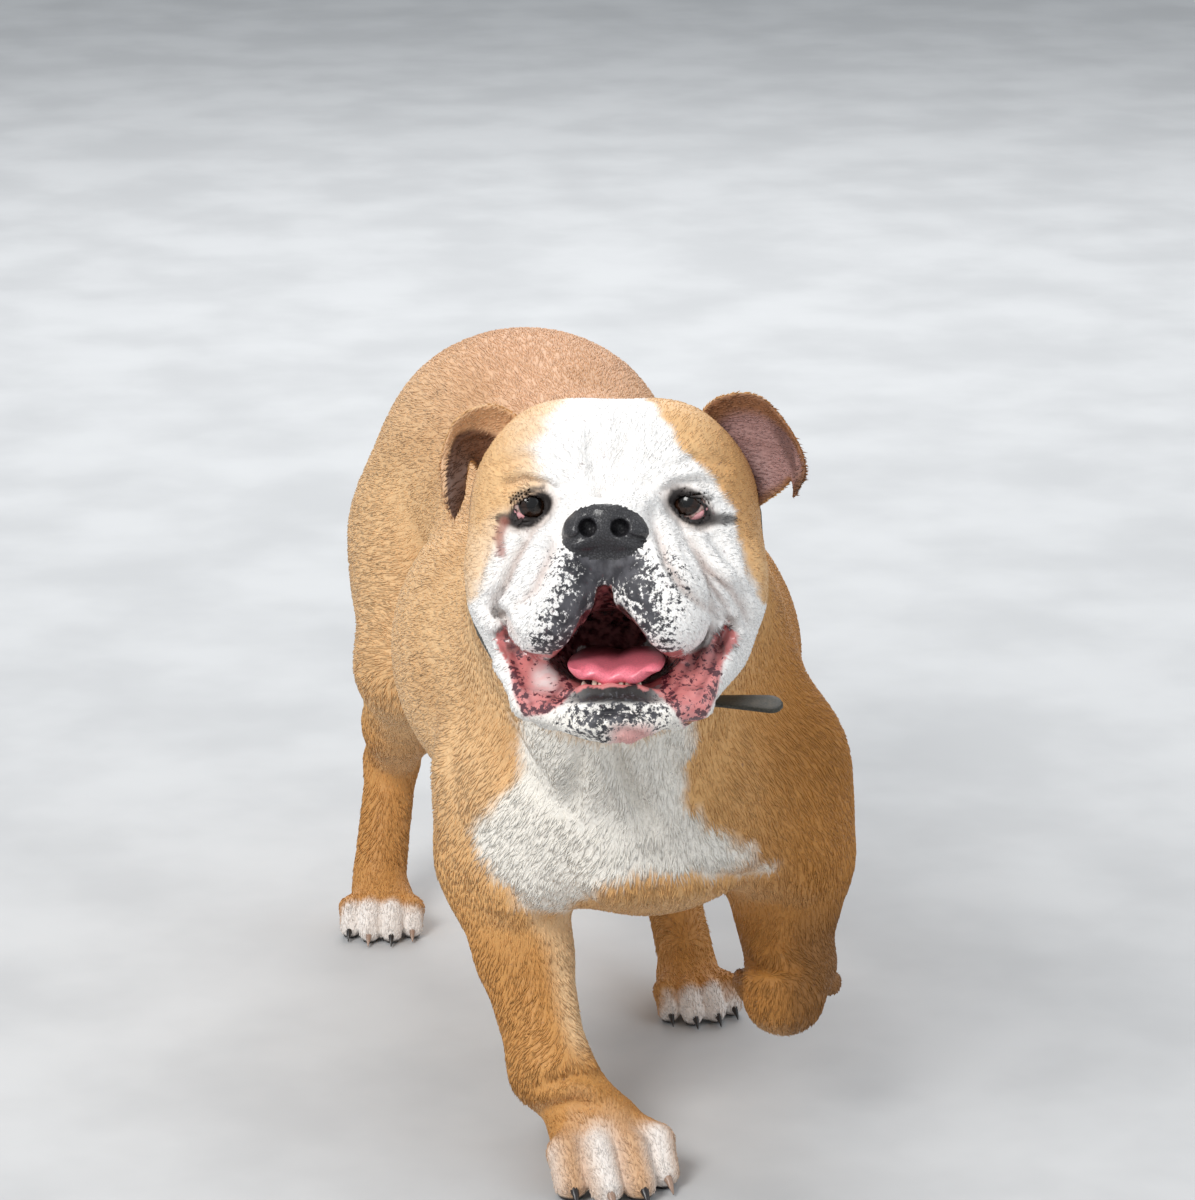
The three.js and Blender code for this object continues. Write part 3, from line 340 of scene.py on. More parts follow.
def paw(place):
    forms = [egg((0, 8, 22), (29, 30, 21), 12, within=place), egg((0, 10, 8), (24, 20, 12), 8, within=place)]
    for x, reach, root in TOES:
        toe = [(root, 4, 29, 12), (x, -reach * 0.55, 24, 11), (x, -reach, TOE_HEIGHT, TOE_RADIUS)]
        forms += chain(toe, 3, within=place)
    return forms


# The skin's own forms: lids, the lower lip's rim, pads
EYE_TILT = 36
LID = 3.0
EYE_OPEN = {-1: (-45.4, -3.4), 1: (46.6, -2.0)}  # middle of each eye's opening, across and up
EYE_LONG, EYE_SHORT = 9.2, 5.6


def lids():
    """Thin lids over the eyeballs, open in a slanted almond."""
    shells, hollows = [], []
    almond = (EYE_LONG - FACE_DEPTH, 11, EYE_SHORT - FACE_DEPTH)
    for s in (1, -1):
        across, up = EYE_OPEN[s]
        middle = s * EYE_SPACING / 2
        shells.append(egg((middle, 0.6, 0), (EYE_RADIUS + LID,) * 3, 3.5, within=HEAD))
        hollows.append(egg((across, -14, up), almond, 1.0, True, tilt=(0, s * EYE_TILT, 0), within=HEAD))
        hollows.append(egg((middle, 0, 0), (EYE_RADIUS + 0.8 - FACE_DEPTH,) * 3, 0.6, True, within=HEAD))
    return shells + hollows


def lip_roll():
    """The black rim of the lower lip, in front of the incisors."""
    left_half = [(JAW_SHIFT, -57, -106.5, 4.8), (18, -53, -107.5, 4.6), (32, -40, -110, 4)]
    return chain([(-26, -40, -110, 4), (-12, -53, -107.5, 4.6), *left_half], 4, within=HEAD)


def pads():
    """Leather pads under the toes and the middle of each paw."""
    forms = []
    for place in PAWS.values():
        forms.append(egg((0, -4, 2.5), (19, 13, 5), 2, within=place))
        forms += [egg((x, -reach + 1, 3), (8, 9, 4.5), 1.5, within=place) for x, reach, _ in TOES]
    return forms


# From forms to a mesh
def steps(start, *stretches):
    """Grid lines from start over stretches of (end, spacing)."""
    lines = [start]
    for end, spacing in stretches:
        count = max(1, round((end - lines[-1]) / spacing))
        lines += list(np.linspace(lines[-1], end, count + 1)[1:])
    return np.array(lines)


def placed(matrix, points):
    """Points moved by a matrix."""
    m = np.array(matrix)
    return np.asarray(points) @ m[:3, :3].T + m[:3, 3]


def to_head(points):
    return placed(HEAD_BACK, points)


def coat_depth(points):
    """How far the skin lies inside the solids: by the coat's depth, least on the face and the feet."""
    h = to_head(points)
    face = np.clip((70 - h[..., 1]) / 60, 0, 1) * np.clip((150 - np.linalg.norm(h, axis=-1)) / 30, 0, 1)
    feet = np.clip((60 - points[..., 2]) / 40, 0, 1)
    return COAT_DEPTH + (FACE_DEPTH - COAT_DEPTH) * np.maximum(face, feet)


def joined(value, d, blend, cut):
    """The distance to the forms so far once one more, at distance d, is added softly or cut away."""
    a = -value if cut else value
    over = np.maximum(blend - np.abs(a - d), 0)
    least = np.minimum(a, d) - over * over / (4 * blend)
    return -least if cut else least


FAR = 1000.0
BLOCK = 16  # cells along a block's edge
STEEPEST, SLACK = 1.5, 12  # a block is looked into where the surface may be this near to its middle
MARGIN = 8  # and a form counts in the blocks this near to it


def field_over(gx, gy, gz, forms):
    """The distance to the skin at grid points."""
    value = np.full(np.broadcast_shapes(gx.shape, gy.shape, gz.shape), FAR)
    for f in forms:
        value = joined(value, f.distance(gx, gy, gz), f.blend, f.cut)
    return value


def crossings(forms, lines):
    """Where the grid's edges cross the skin: their axis, start, crossing, and whether they start inside."""
    counts = [len(g) - 1 for g in lines]
    starts = [np.arange(0, c, BLOCK) for c in counts]
    ends = [np.minimum(s + BLOCK, c) for s, c in zip(starts, counts)]
    mids = [(g[s] + g[e]) / 2 for g, s, e in zip(lines, starts, ends)]
    halves = [(g[e] - g[s]) / 2 for g, s, e in zip(lines, starts, ends)]
    coarse = field_over(mids[0][:, None, None], mids[1][None, :, None], mids[2][None, None, :], forms)
    hx, hy, hz = halves
    reach = np.sqrt(hx[:, None, None] ** 2 + hy[None, :, None] ** 2 + hz[None, None, :] ** 2)
    centres = np.array([f.centre for f in forms])
    reaches = np.array([f.reach + f.blend + MARGIN for f in forms])
    found = []
    for block in np.argwhere(np.abs(coarse) < STEEPEST * reach + SLACK):
        mid = np.array([m[b] for m, b in zip(mids, block)])
        half = np.array([h[b] for h, b in zip(halves, block)])
        off = np.maximum(np.abs(centres - mid) - half, 0)
        near = np.flatnonzero((off**2).sum(1) < reaches**2)
        if not len(near):
            continue
        span = [np.arange(s[b], e[b] + 1) for s, e, b in zip(starts, ends, block)]
        gx, gy, gz = (g[i] for g, i in zip(lines, span))
        px, py, pz = gx[:, None, None], gy[None, :, None], gz[None, None, :]
        value = field_over(px, py, pz, [forms[n] for n in near])
        value += coat_depth(np.stack(np.broadcast_arrays(px, py, pz), -1))
        value = np.maximum(value, -pz)
        inside = value < 0
        if inside.all() or not inside.any():
            continue
        for axis in range(3):
            a = [slice(None, -1)] * 3
            b = [slice(None, -1)] * 3
            b[axis] = slice(1, None)
            a, b = tuple(a), tuple(b)
            where = np.argwhere(inside[a] != inside[b])
            if not len(where):
                continue
            va, vb = value[a][tuple(where.T)], value[b][tuple(where.T)]
            t = va / (va - vb)
            point = np.stack([g[where[:, k]] for k, g in enumerate((gx, gy, gz))], 1)
            far = (gx, gy, gz)[axis][where[:, axis] + 1]
            point[:, axis] += (far - point[:, axis]) * t
            index = where + np.array([s[0] for s in span])
            found.append((np.full(len(where), axis), index, point, va < 0))
    return [np.concatenate(v) for v in zip(*found)]


def skin_of(forms, lines):
    """The closed skin of forms: a point in each cell that it crosses, a quad round each crossed edge."""
    axis, index, point, first_in = crossings(forms, lines)
    shape = [len(g) for g in lines]
    corners = np.empty((len(axis), 4), np.int64)
    for a in range(3):
        rows = axis == a
        u, v = (a + 1) % 3, (a + 2) % 3
        for n, (du, dv) in enumerate(((1, 1), (0, 1), (0, 0), (1, 0))):
            cell = index[rows].copy()
            cell[:, u] -= du
            cell[:, v] -= dv
            corners[rows, n] = (cell[:, 0] * shape[1] + cell[:, 1]) * shape[2] + cell[:, 2]
    corners[~first_in] = corners[~first_in][:, ::-1]
    cells, quads = np.unique(corners, return_inverse=True)
    quads = quads.reshape(-1, 4)
    count = np.bincount(quads.ravel(), minlength=len(cells))
    points = np.stack(
        [np.bincount(quads.ravel(), np.repeat(point[:, k], 4), len(cells)) / count for k in range(3)], 1
    )
    return points, quads


def largest(points, quads):
    """Only the largest connected surface."""
    label = np.arange(len(points))
    while True:
        least = label[quads].min(1)
        new = label.copy()
        np.minimum.at(new, quads, least[:, None])
        new = new[new]
        if (new == label).all():
            break
        label = new
    keep = label[quads[:, 0]]
    names, counts = np.unique(keep, return_counts=True)
    quads = quads[keep == names[counts.argmax()]]
    used, quads = np.unique(quads, return_inverse=True)
    return points[used], quads.reshape(-1, 4)


def unit(vectors, least=1e-9):
    return vectors / (np.linalg.norm(vectors, axis=-1, keepdims=True) + least)


def normals_of(points, quads):
    """Smooth normals at the points of quads."""
    a, b, c, d = (points[quads[:, k]] for k in range(4))
    n = np.cross(b - a, c - a) + np.cross(c - a, d - a)
    total = [np.bincount(quads.ravel(), np.repeat(n[:, k], 4), len(points)) for k in range(3)]
    return unit(np.stack(total, 1), 1e-12)


def to_row(points):
    """Points of the dog's own frame in the row's frame, in metres."""
    return (np.asarray(points) - np.array(SHIFT)) / 1000


def make_mesh(name, points, faces, material, **colours):
    """A mesh object in metres from points in the dog's own frame."""
    faces = np.asarray(faces)
    mesh = bpy.data.meshes.new(name)
    mesh.vertices.add(len(points))
    mesh.vertices.foreach_set("co", to_row(points).astype(np.float32).ravel())
    size = faces.shape[1]
    mesh.loops.add(faces.size)
    mesh.loops.foreach_set("vertex_index", faces.astype(np.int32).ravel())
    mesh.polygons.add(len(faces))
    mesh.polygons.foreach_set("loop_start", np.arange(0, faces.size, size, dtype=np.int32))
    mesh.update(calc_edges=True)
    mesh.polygons.foreach_set("use_smooth", np.full(len(faces), True))
    for layer, values in colours.items():
        tint = mesh.attributes.new(layer, "FLOAT_COLOR", "POINT")
        rgba = np.concatenate([values, np.ones((len(points), 1))], 1)
        tint.data.foreach_set("color", rgba.astype(np.float32).ravel())
    mesh.materials.append(material)
    piece = bpy.data.objects.new(name, mesh)
    bpy.context.collection.objects.link(piece)
    return piece


def place(piece, slot, *nodes):
    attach(piece, "root")
    if nodes:
        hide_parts(*nodes)


# Measures in the face's front view and in the camera's, and the creases drawn in them
def along(u, v, points):
    """Distance in the face's front view to a line of points, and how far along it is, 0 to 1."""
    best, share = np.full(u.shape, FAR), np.zeros(u.shape)
    count = len(points) - 1
    for n, ((u0, v0), (u1, v1)) in enumerate(zip(points, points[1:])):
        du, dv = u1 - u0, v1 - v0
        t = np.clip(((u - u0) * du + (v - v0) * dv) / (du * du + dv * dv), 0, 1)
        d = np.hypot(u - u0 - t * du, v - v0 - t * dv)
        share = np.where(d < best, (n + t) / count, share)
        best = np.minimum(best, d)
    return best, share


def soft(low, high, value):
    """0 to 1 as the value goes from low to high, with soft ends."""
    t = np.clip((value - low) / (high - low), 0, 1)
    return t * t * (3 - 2 * t)


def bell(value, width, power=2):
    """1 where the value is 0, and almost nothing beyond twice the width."""
    return np.exp(-((np.abs(value) / width) ** power))


VIEW_TURN = 0.063  # how far the photo's view of the face is turned aside, as a slope


def face_view(h):
    """The face from the front: millimetres to the dog's left of the point between the eyes, and above it."""
    return h[:, 0] + VIEW_TURN * h[:, 1], h[:, 2]


CREASE_DEPTH, CREASE_WIDTH = 1.3, 1.15
# Creases of the face in its front view: the line, depth, half width, and the swell beside it
CREASES = [
    ([(-37, -8), (-45, -17), (-53, -30), (-61, -48), (-70, -60)], 5.0, 2.8, 3.2),
    ([(-29, -14), (-36, -32), (-43, -48), (-57, -62)], 2.0, 3.2, 1.2),
    ([(-62, -60), (-58, -70), (-53, -80)], 3.0, 2.2, 1.6),
    ([(23, -5), (27, -18), (32, -34), (41, -48), (53, -59), (62, -65)], 4.6, 2.3, 2.6),
    ([(41, -12), (47, -24), (56, -38), (70, -50), (78, -64), (79, -72)], 4.2, 2.4, 2.4),
    ([(48, -30), (57, -46), (66, -58)], 2.2, 1.8, 1.2),
    ([(73, -66), (66, -76), (62, -84)], 3.4, 2.2, 1.6),
    ([(66, -66), (70, -70)], 5.0, 3.2, 1.4),
    ([(-66, -63), (-62, -66)], 4.4, 3.2, 1.4),
    ([(-9, 46), (-12, 34), (-8, 22), (-10, 12)], 2.4, 4.0, 1.2),
    ([(7, 46), (9, 34), (5, 22), (8, 12)], 2.4, 4.0, 1.2),
    ([(-26, 12), (-16, 6), (0, 3.5), (14, 6), (24, 12)], 2.4, 3.0, 1.6),
    ([(-62, 10), (-50, 15), (-36, 12), (-28, 6)], 2.6, 2.2, 1.8),
    ([(62, 10), (50, 14), (37, 12), (28, 6)], 2.6, 2.2, 1.8),
    ([(-64, 22), (-48, 27), (-34, 22)], 1.6, 3.0, 1.2),
    ([(66, 21), (50, 26), (36, 21)], 1.6, 3.0, 1.2),
    ([(-60, -12), (-50, -16.5), (-39, -13)], 2.2, 1.6, 1.4),
    ([(61, -11), (51, -15), (40, -12)], 2.2, 1.6, 1.4),
    ([(-72, -20), (-77, -36), (-80, -52)], 1.8, 3.2, 1.4),
    ([(76, -20), (82, -36), (86, -50)], 1.8, 3.2, 1.4),
    ([(-24, -123), (-8, -118), (10, -117), (28, -123)], 2.6, 2.2, 1.4),
    ([(-8, -133), (6, -127), (20, -133)], 1.8, 2.0, 1.2),
]


# The camera, and the front view it gives in millimetres at the chest's distance
CAMERA_AT = Vector((-455, -2694, 1168))
CAMERA_TURN, CAMERA_DROP = 9.214, 16.685
CHEST_AWAY = 2783
TURN, DROP = math.radians(CAMERA_TURN), math.radians(CAMERA_DROP)
CAMERA_FORWARD = Vector((math.sin(TURN) * math.cos(DROP), math.cos(TURN) * math.cos(DROP), -math.sin(DROP)))
CAMERA_RIGHT = Vector((math.cos(TURN), -math.sin(TURN), 0))
CAMERA_UP = CAMERA_RIGHT.cross(CAMERA_FORWARD)


def front_view(points):
    off = points - np.array(CAMERA_AT)
    scale = CHEST_AWAY / (off @ np.array(CAMERA_FORWARD))
    return off @ np.array(CAMERA_RIGHT) * scale, off @ np.array(CAMERA_UP) * scale


# Folds of the throat, shoulders and wrist in that view: the line, depth and half width
BODY_CREASES = [
    ([(11, -88), (15, -104), (24, -122), (34, -138)], 6, 5),
    ([(-8, -88), (-12, -108), (-16, -128)], 4.5, 6),
    ([(42, -84), (47, -102), (50, -122)], 3.5, 6),
    ([(-46, -76), (-53, -98), (-62, -122)], 3.5, 6),
    ([(-84, -60), (-92, -90), (-92, -124), (-84, -150)], 3.5, 9),
    ([(84, -50), (98, -80), (104, -116), (98, -146)], 3.5, 9),
    ([(-36, -300), (-14, -292), (8, -296)], 2.2, 4),
    ([(-40, -316), (-16, -310), (8, -314)], 2.2, 4),
    ([(84, -216), (98, -226), (120, -228)], 3.5, 4),
    ([(-62, -172), (-46, -190), (-24, -200)], 3, 6),
    ([(60, -168), (90, -172), (108, -166)], 3, 5),
]


def ends(share):
    """How much of a crease is left toward the ends of its line."""
    return np.sqrt(np.clip(np.sin(math.pi * np.clip(share, 0.04, 0.96)), 0, 1))


def folded(points, normals):
    """The face with its creases pressed in, and the folds of the throat, the shoulders and the wrists."""
    h = to_head(points)
    u, v = face_view(h)
    facing = soft(-0.1, 0.35, -(normals @ np.array(HEAD_BACK)[:3, :3].T)[:, 1])
    front = facing * soft(60, 30, h[:, 1]) * soft(-150, -142, v)
    push = np.zeros(len(points))
    for line, depth, width, swell in CREASES:
        d, share = along(u, v, line)
        wide = CREASE_WIDTH * width
        beside = bell(d - 2.1 * wide, 1.3 * wide)
        push += CREASE_DEPTH * front * ends(share) * (swell * beside - depth * bell(d, wide))
    fu, fv = front_view(points)
    toward = soft(0.05, 0.4, -(normals @ np.array(CAMERA_FORWARD))) * soft(60, 0, points[:, 1])
    for line, depth, width in BODY_CREASES:
        d, share = along(fu, fv, line)
        beside = bell(d - 2 * width, 1.4 * width)
        push += toward * ends(share) * depth * (0.5 * beside - bell(d, width))
    return points + normals * push[:, None]


# Colours, as seen, and the coat's markings
def seen(r, g, b):
    """A colour as a screen shows it, 0 to 255, in the shader's own scale."""
    c = np.array([r, g, b]) / 255
    return np.where(c <= 0.04045, c / 12.92, ((c + 0.055) / 1.055) ** 2.4)


FAWN = seen(222, 172, 110)
CREAM = seen(238, 202, 156)
RUST = seen(190, 128, 52)
BACK = seen(220, 174, 138)
# Painted shade for the lifted left foreleg and its paw
LIFTED_LEG_SHADE = seen(132, 88, 40)
WHITE = seen(250, 248, 246)
BIB = seen(244, 239, 230)
CHARCOAL = seen(46, 45, 50)
SOOT = seen(34, 28, 27)
PINK = seen(224, 150, 146)
LIP_PINK = seen(206, 126, 124)
LIP_PALE = seen(236, 226, 224)
# Painted shade for the folds of the lips
LIP_FOLD_SHADE = seen(120, 54, 60)
LIP_BLOTCH = seen(92, 52, 60)
# The throat's deep red, partly its own colour and partly painted shade, and near black where there is only
# shade
THROAT_RED_AND_SHADE = seen(96, 30, 38)
THROAT_SHADOW = seen(18, 8, 10)
STAIN = seen(158, 92, 78)
EYE_SHADE = seen(170, 140, 122)
# Painted shade for the face's creases
CREASE_SHADE = seen(200, 176, 168)


def painted(base, colour, amount):
    return base + (colour - base) * np.clip(amount, 0, 1)[:, None]


def plain(colour, points):
    """One colour for all the points."""
    return np.tile(colour, (len(points), 1))


def ripple(points, size, seed=0):
    """A smooth wandering between -1 and 1, about that many millimetres long."""
    x, y, z = (points / size + seed * 1.7).T
    waves = np.sin(1.7 * x + 2.3 * np.sin(0.9 * y + seed))
    waves += np.sin(1.9 * y + 2.1 * np.sin(1.1 * z))
    waves += np.sin(2.1 * z + 1.9 * np.sin(x))
    return waves / 3


# Edges of the white blaze and cheeks in the face's front view: the height, the right edge and the left one
BLAZE = np.array([
    (-72, -140, 150), (-58, -86, 90), (-53, -77, 86), (-40, -73, 81), (-26, -69, 78), (-11, -61, 74),
    (-4, -52, 72), (1, -42, 68), (12, -38, 59), (24, -40, 53), (32, -45, 42), (48, -39, 33),
    (55, -30, 28), (72, -16, 12),
])
# Edge of the bib in the camera's front view
BIB_EDGE = [
    (-54, -30), (-48, -76), (-49, -113), (-77, -139), (-70, -162), (-44, -190), (-19, -193), (1, -177),
    (32, -168), (77, -168), (106, -165), (94, -151), (69, -139), (53, -117), (57, -91), (64, -30), (2, 0),
]
# Inner faces of the lower lips in the face's front view, and the folds on them, painted darker as shade
LOWER_LIPS = [
    [
        (-64, -68), (-56, -80), (-37, -90), (-27, -89), (-25, -99), (-21, -106), (-28, -114), (-38, -120),
        (-50, -122), (-56, -110), (-60, -90),
    ],
    [
        (66, -69), (60, -80), (47, -86), (32, -87), (30, -99), (27, -108), (36, -118), (42, -128),
        (53, -125), (61, -110), (66, -87),
    ],
]
LIP_CREASES = [
    [(68, -66), (63, -80), (58, -94), (50, -108)],
    [(56, -82), (46, -92), (38, -104), (34, -112)],
    [(-62, -72), (-57, -86), (-54, -100), (-46, -114)],
    [(-30, -92), (-29, -104), (-36, -114)],
]
# For each eye the dark mark at its outer corner and the dark line over it
EYE_MARKS = {
    -1: ([(-54, -8), (-59, -9), (-64, -8)], [(-57, 3), (-50, 8), (-39, 10)]),
    1: ([(54, -6), (60, -9), (70, -9)], [(36, 8), (44, 9), (57, 3)]),
}
TEAR_STAIN = [(-62, -10), (-65, -19), (-63, -28)]
RIGHT_STREAK = [(-7, -34), (-17, -52), (-27, -72), (-34, -84)]
LEFT_STREAK = [(8, -34), (15, -52), (24, -68), (30, -84)]
FACE_CREASES = 9  # how many of the first creases also get painted shade, a little darker
SKULL_MIDDLE = (0, 20, -30)
PAW_MIDDLE = (0, -8, 10)
MOUTH_FORMS = mouth_hollows()


def from_skull(h):
    """Distance of points in the head's frame from the middle of the skull."""
    return np.linalg.norm(h - SKULL_MIDDLE, axis=1)


def inside_of(u, v, outline):
    """Signed distance to a closed outline, above 0 inside."""
    d, _ = along(u, v, outline + outline[:1])
    odd = np.zeros(u.shape, bool)
    for (u0, v0), (u1, v1) in zip(outline, outline[1:] + outline[:1]):
        crosses = (v0 > v) != (v1 > v)
        odd ^= crosses & (u < (u1 - u0) * (v - v0) / (v1 - v0 + 1e-9) + u0)
    return np.where(odd, d, -d)


def mouth_near(points):
    """Distance from the mouth's hollows, 0 on their walls."""
    return np.min([f.distance(*points.T) for f in MOUTH_FORMS], 0)


def eye_near(h, s):
    """How far a point of the face is from the opening of an eye, as a share: 1 on its edge."""
    u, v = face_view(h)
    a = math.radians(s * EYE_TILT)
    du, dv = u - EYE_OPEN[s][0] + 0.9, v - EYE_OPEN[s][1]
    p, q = du * math.cos(a) - dv * math.sin(a), du * math.sin(a) + dv * math.cos(a)
    return np.hypot(p / EYE_LONG, q / EYE_SHORT)


def lower_lips(h):
    """How much a point of the face is bare lower lip, and the density of the dark blotches on it."""
    u, v = face_view(h)
    edge = np.maximum(*[inside_of(u, v, outline) for outline in LOWER_LIPS])
    bare_lip = soft(-1, 1.5, edge) * soft(25, 10, h[:, 1])
    outward = soft(9, 1, edge) * soft(-86, -98, v)
    return bare_lip, bare_lip * (0.24 + 0.42 * outward)


class Coat:
    """The colour at points of the skin, and the measures that the markings are placed by."""

    def __init__(self, points, normals):
        self.points, self.normals = points, normals
        self.h = to_head(points)
        self.u, self.v = face_view(self.h)
        self.front = soft(30, 5, self.h[:, 1])
        near_skull = soft(140, 120, from_skull(self.h))
        self.on_head = soft(100, 88, self.h[:, 1]) * soft(-160, -150, self.v) * near_skull
        self.wander = ripple(points, 9) * 3 + ripple(points, 3.2, 3) * 1.2
        self.tint = plain(FAWN, points)

    def lay(self, colour, amount):
        """Lays a colour over the ones before."""
        self.tint = painted(self.tint, colour, amount)


def body_markings(coat):
    """Fawn, warmer on the left shoulder and the legs and paler below, with painted light making the right
    flank paler, painted shade darkening the lifted left foreleg, and the bib.
    """
    x, y, z = coat.points.T
    nx, _, nz = coat.normals.T
    coat.lay(BACK, soft(330, 420, z) * soft(20, 160, y) * 0.9)
    # Painted light: cream on the right flank, the side toward the key lamp
    coat.lay(CREAM, soft(-20, -120, x) * soft(150, 260, z) * 0.7)
    coat.lay(RUST, soft(20, 110, x) * soft(420, 300, z) * soft(330, 120, y) * 0.9)
    coat.lay(RUST, soft(190, 120, z) * 0.55)
    coat.lay(RUST * 0.8, 0.25 * soft(0, 0.9, ripple(coat.points, 26, 5)))
    coat.lay(CREAM, soft(0.2, 0.9, -nz) * 0.5)
    right_leg = soft(-10, -30, x) * soft(180, 165, z) * soft(70, 90, z) * soft(60, 20, y)
    coat.lay(CREAM, right_leg * soft(0.1, 0.7, nx))
    # Painted shade: the lifted left foreleg darkened to brown, most on its outer side, away from the key lamp
    lifted = soft(60, 90, x) * soft(180, 130, z) * soft(60, 20, y)
    coat.lay(LIFTED_LEG_SHADE, lifted * (0.35 + 0.65 * soft(0.3, -0.2, -nx)) * 0.75)
    edge = inside_of(*front_view(coat.points), BIB_EDGE) + coat.wander * 1.5
    toward = soft(-0.25, 0.1, -(coat.normals @ np.array(CAMERA_FORWARD)))
    head_side = soft(84, 70, coat.h[:, 1]) * soft(-175, -160, coat.v)
    coat.lay(BIB, soft(-5, 6, edge) * soft(10, -30, y) * np.maximum(toward, head_side))


def blaze_markings(coat):
    """The head's own fawn, and the white blaze and cheeks, which fade out softly on the right."""
    u, v, wander = coat.u, coat.v, coat.wander
    coat.lay((FAWN + CREAM) / 2, coat.on_head * soft(-152, -140, v) * 0.8)
    coat.lay(RUST, coat.on_head * soft(50, 75, u) * soft(-40, 0, v) * 0.45)
    heights, right_edge, left_edge = BLAZE.T
    from_right, from_left = u - np.interp(v, heights, right_edge), np.interp(v, heights, left_edge) - u
    inside = np.minimum(from_right, from_left) + wander
    back = 86 + wander - soft(-40, -70, v) * 34
    fade = 3 + 4 * soft(20, -20, u)
    white = soft(-1, 1, inside / fade) * soft(4, -4, coat.h[:, 1] - back) * soft(-175, -165, v)
    pale = CREAM + 0.25 * (WHITE - CREAM)
    coat.lay(pale, coat.on_head * soft(-24, -4, inside) * soft(10, -10, u) * 0.75)
    coat.lay(WHITE, white)
    coat.lay(BIB, white * soft(-100, -125, v) * 0.7)


def eye_markings(coat):
    """Dark rims of the eyes, their outer corners, the line over them, and the stain under the right one."""
    u, v, front = coat.u, coat.v, coat.front
    for s, (corner, over) in EYE_MARKS.items():
        near = eye_near(coat.h, s)
        coat.lay(EYE_SHADE, soft(2.4, 1.4, near) * front * 0.5)
        coat.lay(SOOT, soft(1.7, 1.4, near) * front)
        d, share = along(u, v, corner)
        wedge = soft(8 - 4 * share, 2, d + 0.25 * coat.wander)
        coat.lay(SOOT * 1.5, wedge * front * (1 - 0.2 * share))
        d, _ = along(u, v, over)
        coat.lay(SOOT * 1.5, soft(2.2, 0.6, d) * front * 0.8)
    d, _ = along(u, v, TEAR_STAIN)
    coat.lay(STAIN, soft(4.5, 1, d) * front * 0.75)


def muzzle_specks(coat):
    """The density of the charcoal specks on the muzzle and the chin, and the chin's pink patch."""
    u, v, front = coat.u, coat.v, coat.front
    under = bell(u + 3, 27) * bell(v + 36, 15)
    d1, share1 = along(u, v, RIGHT_STREAK)
    d2, share2 = along(u, v, LEFT_STREAK)
    streaks = np.maximum(bell(d1, 16) * (1 - 0.3 * share1), bell(d2, 13) * (1 - 0.5 * share2))
    specks = front * np.maximum(1.25 * under, 1.05 * streaks) * soft(4, -4, v + 20)
    specks = np.maximum(specks, front * 0.42 * bell(u - 34, 14) * bell(v + 48, 26))
    specks = np.maximum(specks, front * 0.36 * bell(u + 36, 12) * bell(v + 66, 20))
    chin = bell(u - 3, 34, 4) * bell(v + 124, 17, 4)
    grey = bell(u - 2, 30) * bell(v + 119 + 0.2 * np.abs(u - 2), 8)
    specks = np.maximum(specks, front * np.maximum(0.6 * chin, 0.95 * grey))
    patch = bell(u - 12, 13, 4) * bell(v + 134, 9, 4) * front
    coat.lay(PINK, patch * 0.8)
    return specks * (1 - 0.8 * patch)


def lip_markings(coat):
    """Black rim in front, pink to the corners; gives the blotches' density and where the skin is bare."""
    u, v, h = coat.u, coat.v, coat.h
    middle = bell(u - 2, 28, 6) * soft(-99, -101, v) * soft(-114.5, -112, v) * coat.front
    coat.lay(SOOT, middle)
    lips, blotches = lower_lips(h)
    coat.lay(LIP_PINK, lips)
    pale = bell(u + 37, 9, 4) * bell(v + 100, 8, 4)
    coat.lay(LIP_PALE, lips * pale * 0.9)
    # Painted shade: dark lines along the folds of the lips
    for line in LIP_CREASES:
        d, _ = along(u, v, line)
        coat.lay(LIP_FOLD_SHADE, bell(d, 1.8) * lips * 0.75)
    edge = soft(4.5, 2.0, mouth_near(coat.points)) * soft(8, -2, h[:, 1]) * coat.on_head
    coat.lay(SOOT * 1.6, edge * soft(-50, -56, v) * soft(-88, -84, v) * 0.7)
    # Painted shade: the first creases of the face laid a little darker, where shade falls in them
    for line, _, width, _ in CREASES[:FACE_CREASES]:
        d, share = along(u, v, line)
        shade = bell(d, 0.8 * width) * np.sin(math.pi * np.clip(share, 0.05, 0.95)) * coat.front
        coat.lay(coat.tint * CREASE_SHADE, shade * 0.6)
    return blotches * (1 - 0.8 * pale), np.maximum(middle, lips)


def paw_markings(coat):
    """White toes, painted shade in brown on the lifted paw, dark pads."""
    for name, place in PAWS.items():
        p = placed(place.inverted(), coat.points)
        x, y, z = p.T
        near_paw = soft(62, 50, np.linalg.norm(p - PAW_MIDDLE, axis=1))
        edge = y + coat.wander
        if name == "fore_right":
            stripe = 0.55 + 0.45 * np.cos((x + 10) * math.pi / 18)
            coat.lay(WHITE, soft(2, -8, edge) * near_paw * (0.1 + 0.75 * stripe * soft(-6, -20, y)))
        elif name == "fore_left":
            # Painted shade: the lifted paw darkened to brown
            coat.lay(LIFTED_LEG_SHADE, near_paw * 0.5)
        elif name == "hind_left":
            coat.lay(WHITE, soft(-20, -32, edge) * near_paw * 0.8)
        else:
            coat.lay(WHITE, soft(-16, -28, edge) * near_paw * 0.85)
        coat.lay(SOOT, soft(4.2, 2.6, z) * soft(-10, -6, z) * soft(14, 9, y) * near_paw)


def markings(points, normals):
    """The coat's colour at points of the skin; the density of specks and of blotches, and how bare it is."""
    coat = Coat(points, normals)
    body_markings(coat)
    blaze_markings(coat)
    eye_markings(coat)
    specks = muzzle_specks(coat)
    blotches, bare_skin = lip_markings(coat)
    paw_markings(coat)
    return np.clip(coat.tint, 0, 1), np.stack([specks, blotches, bare_skin], 1)


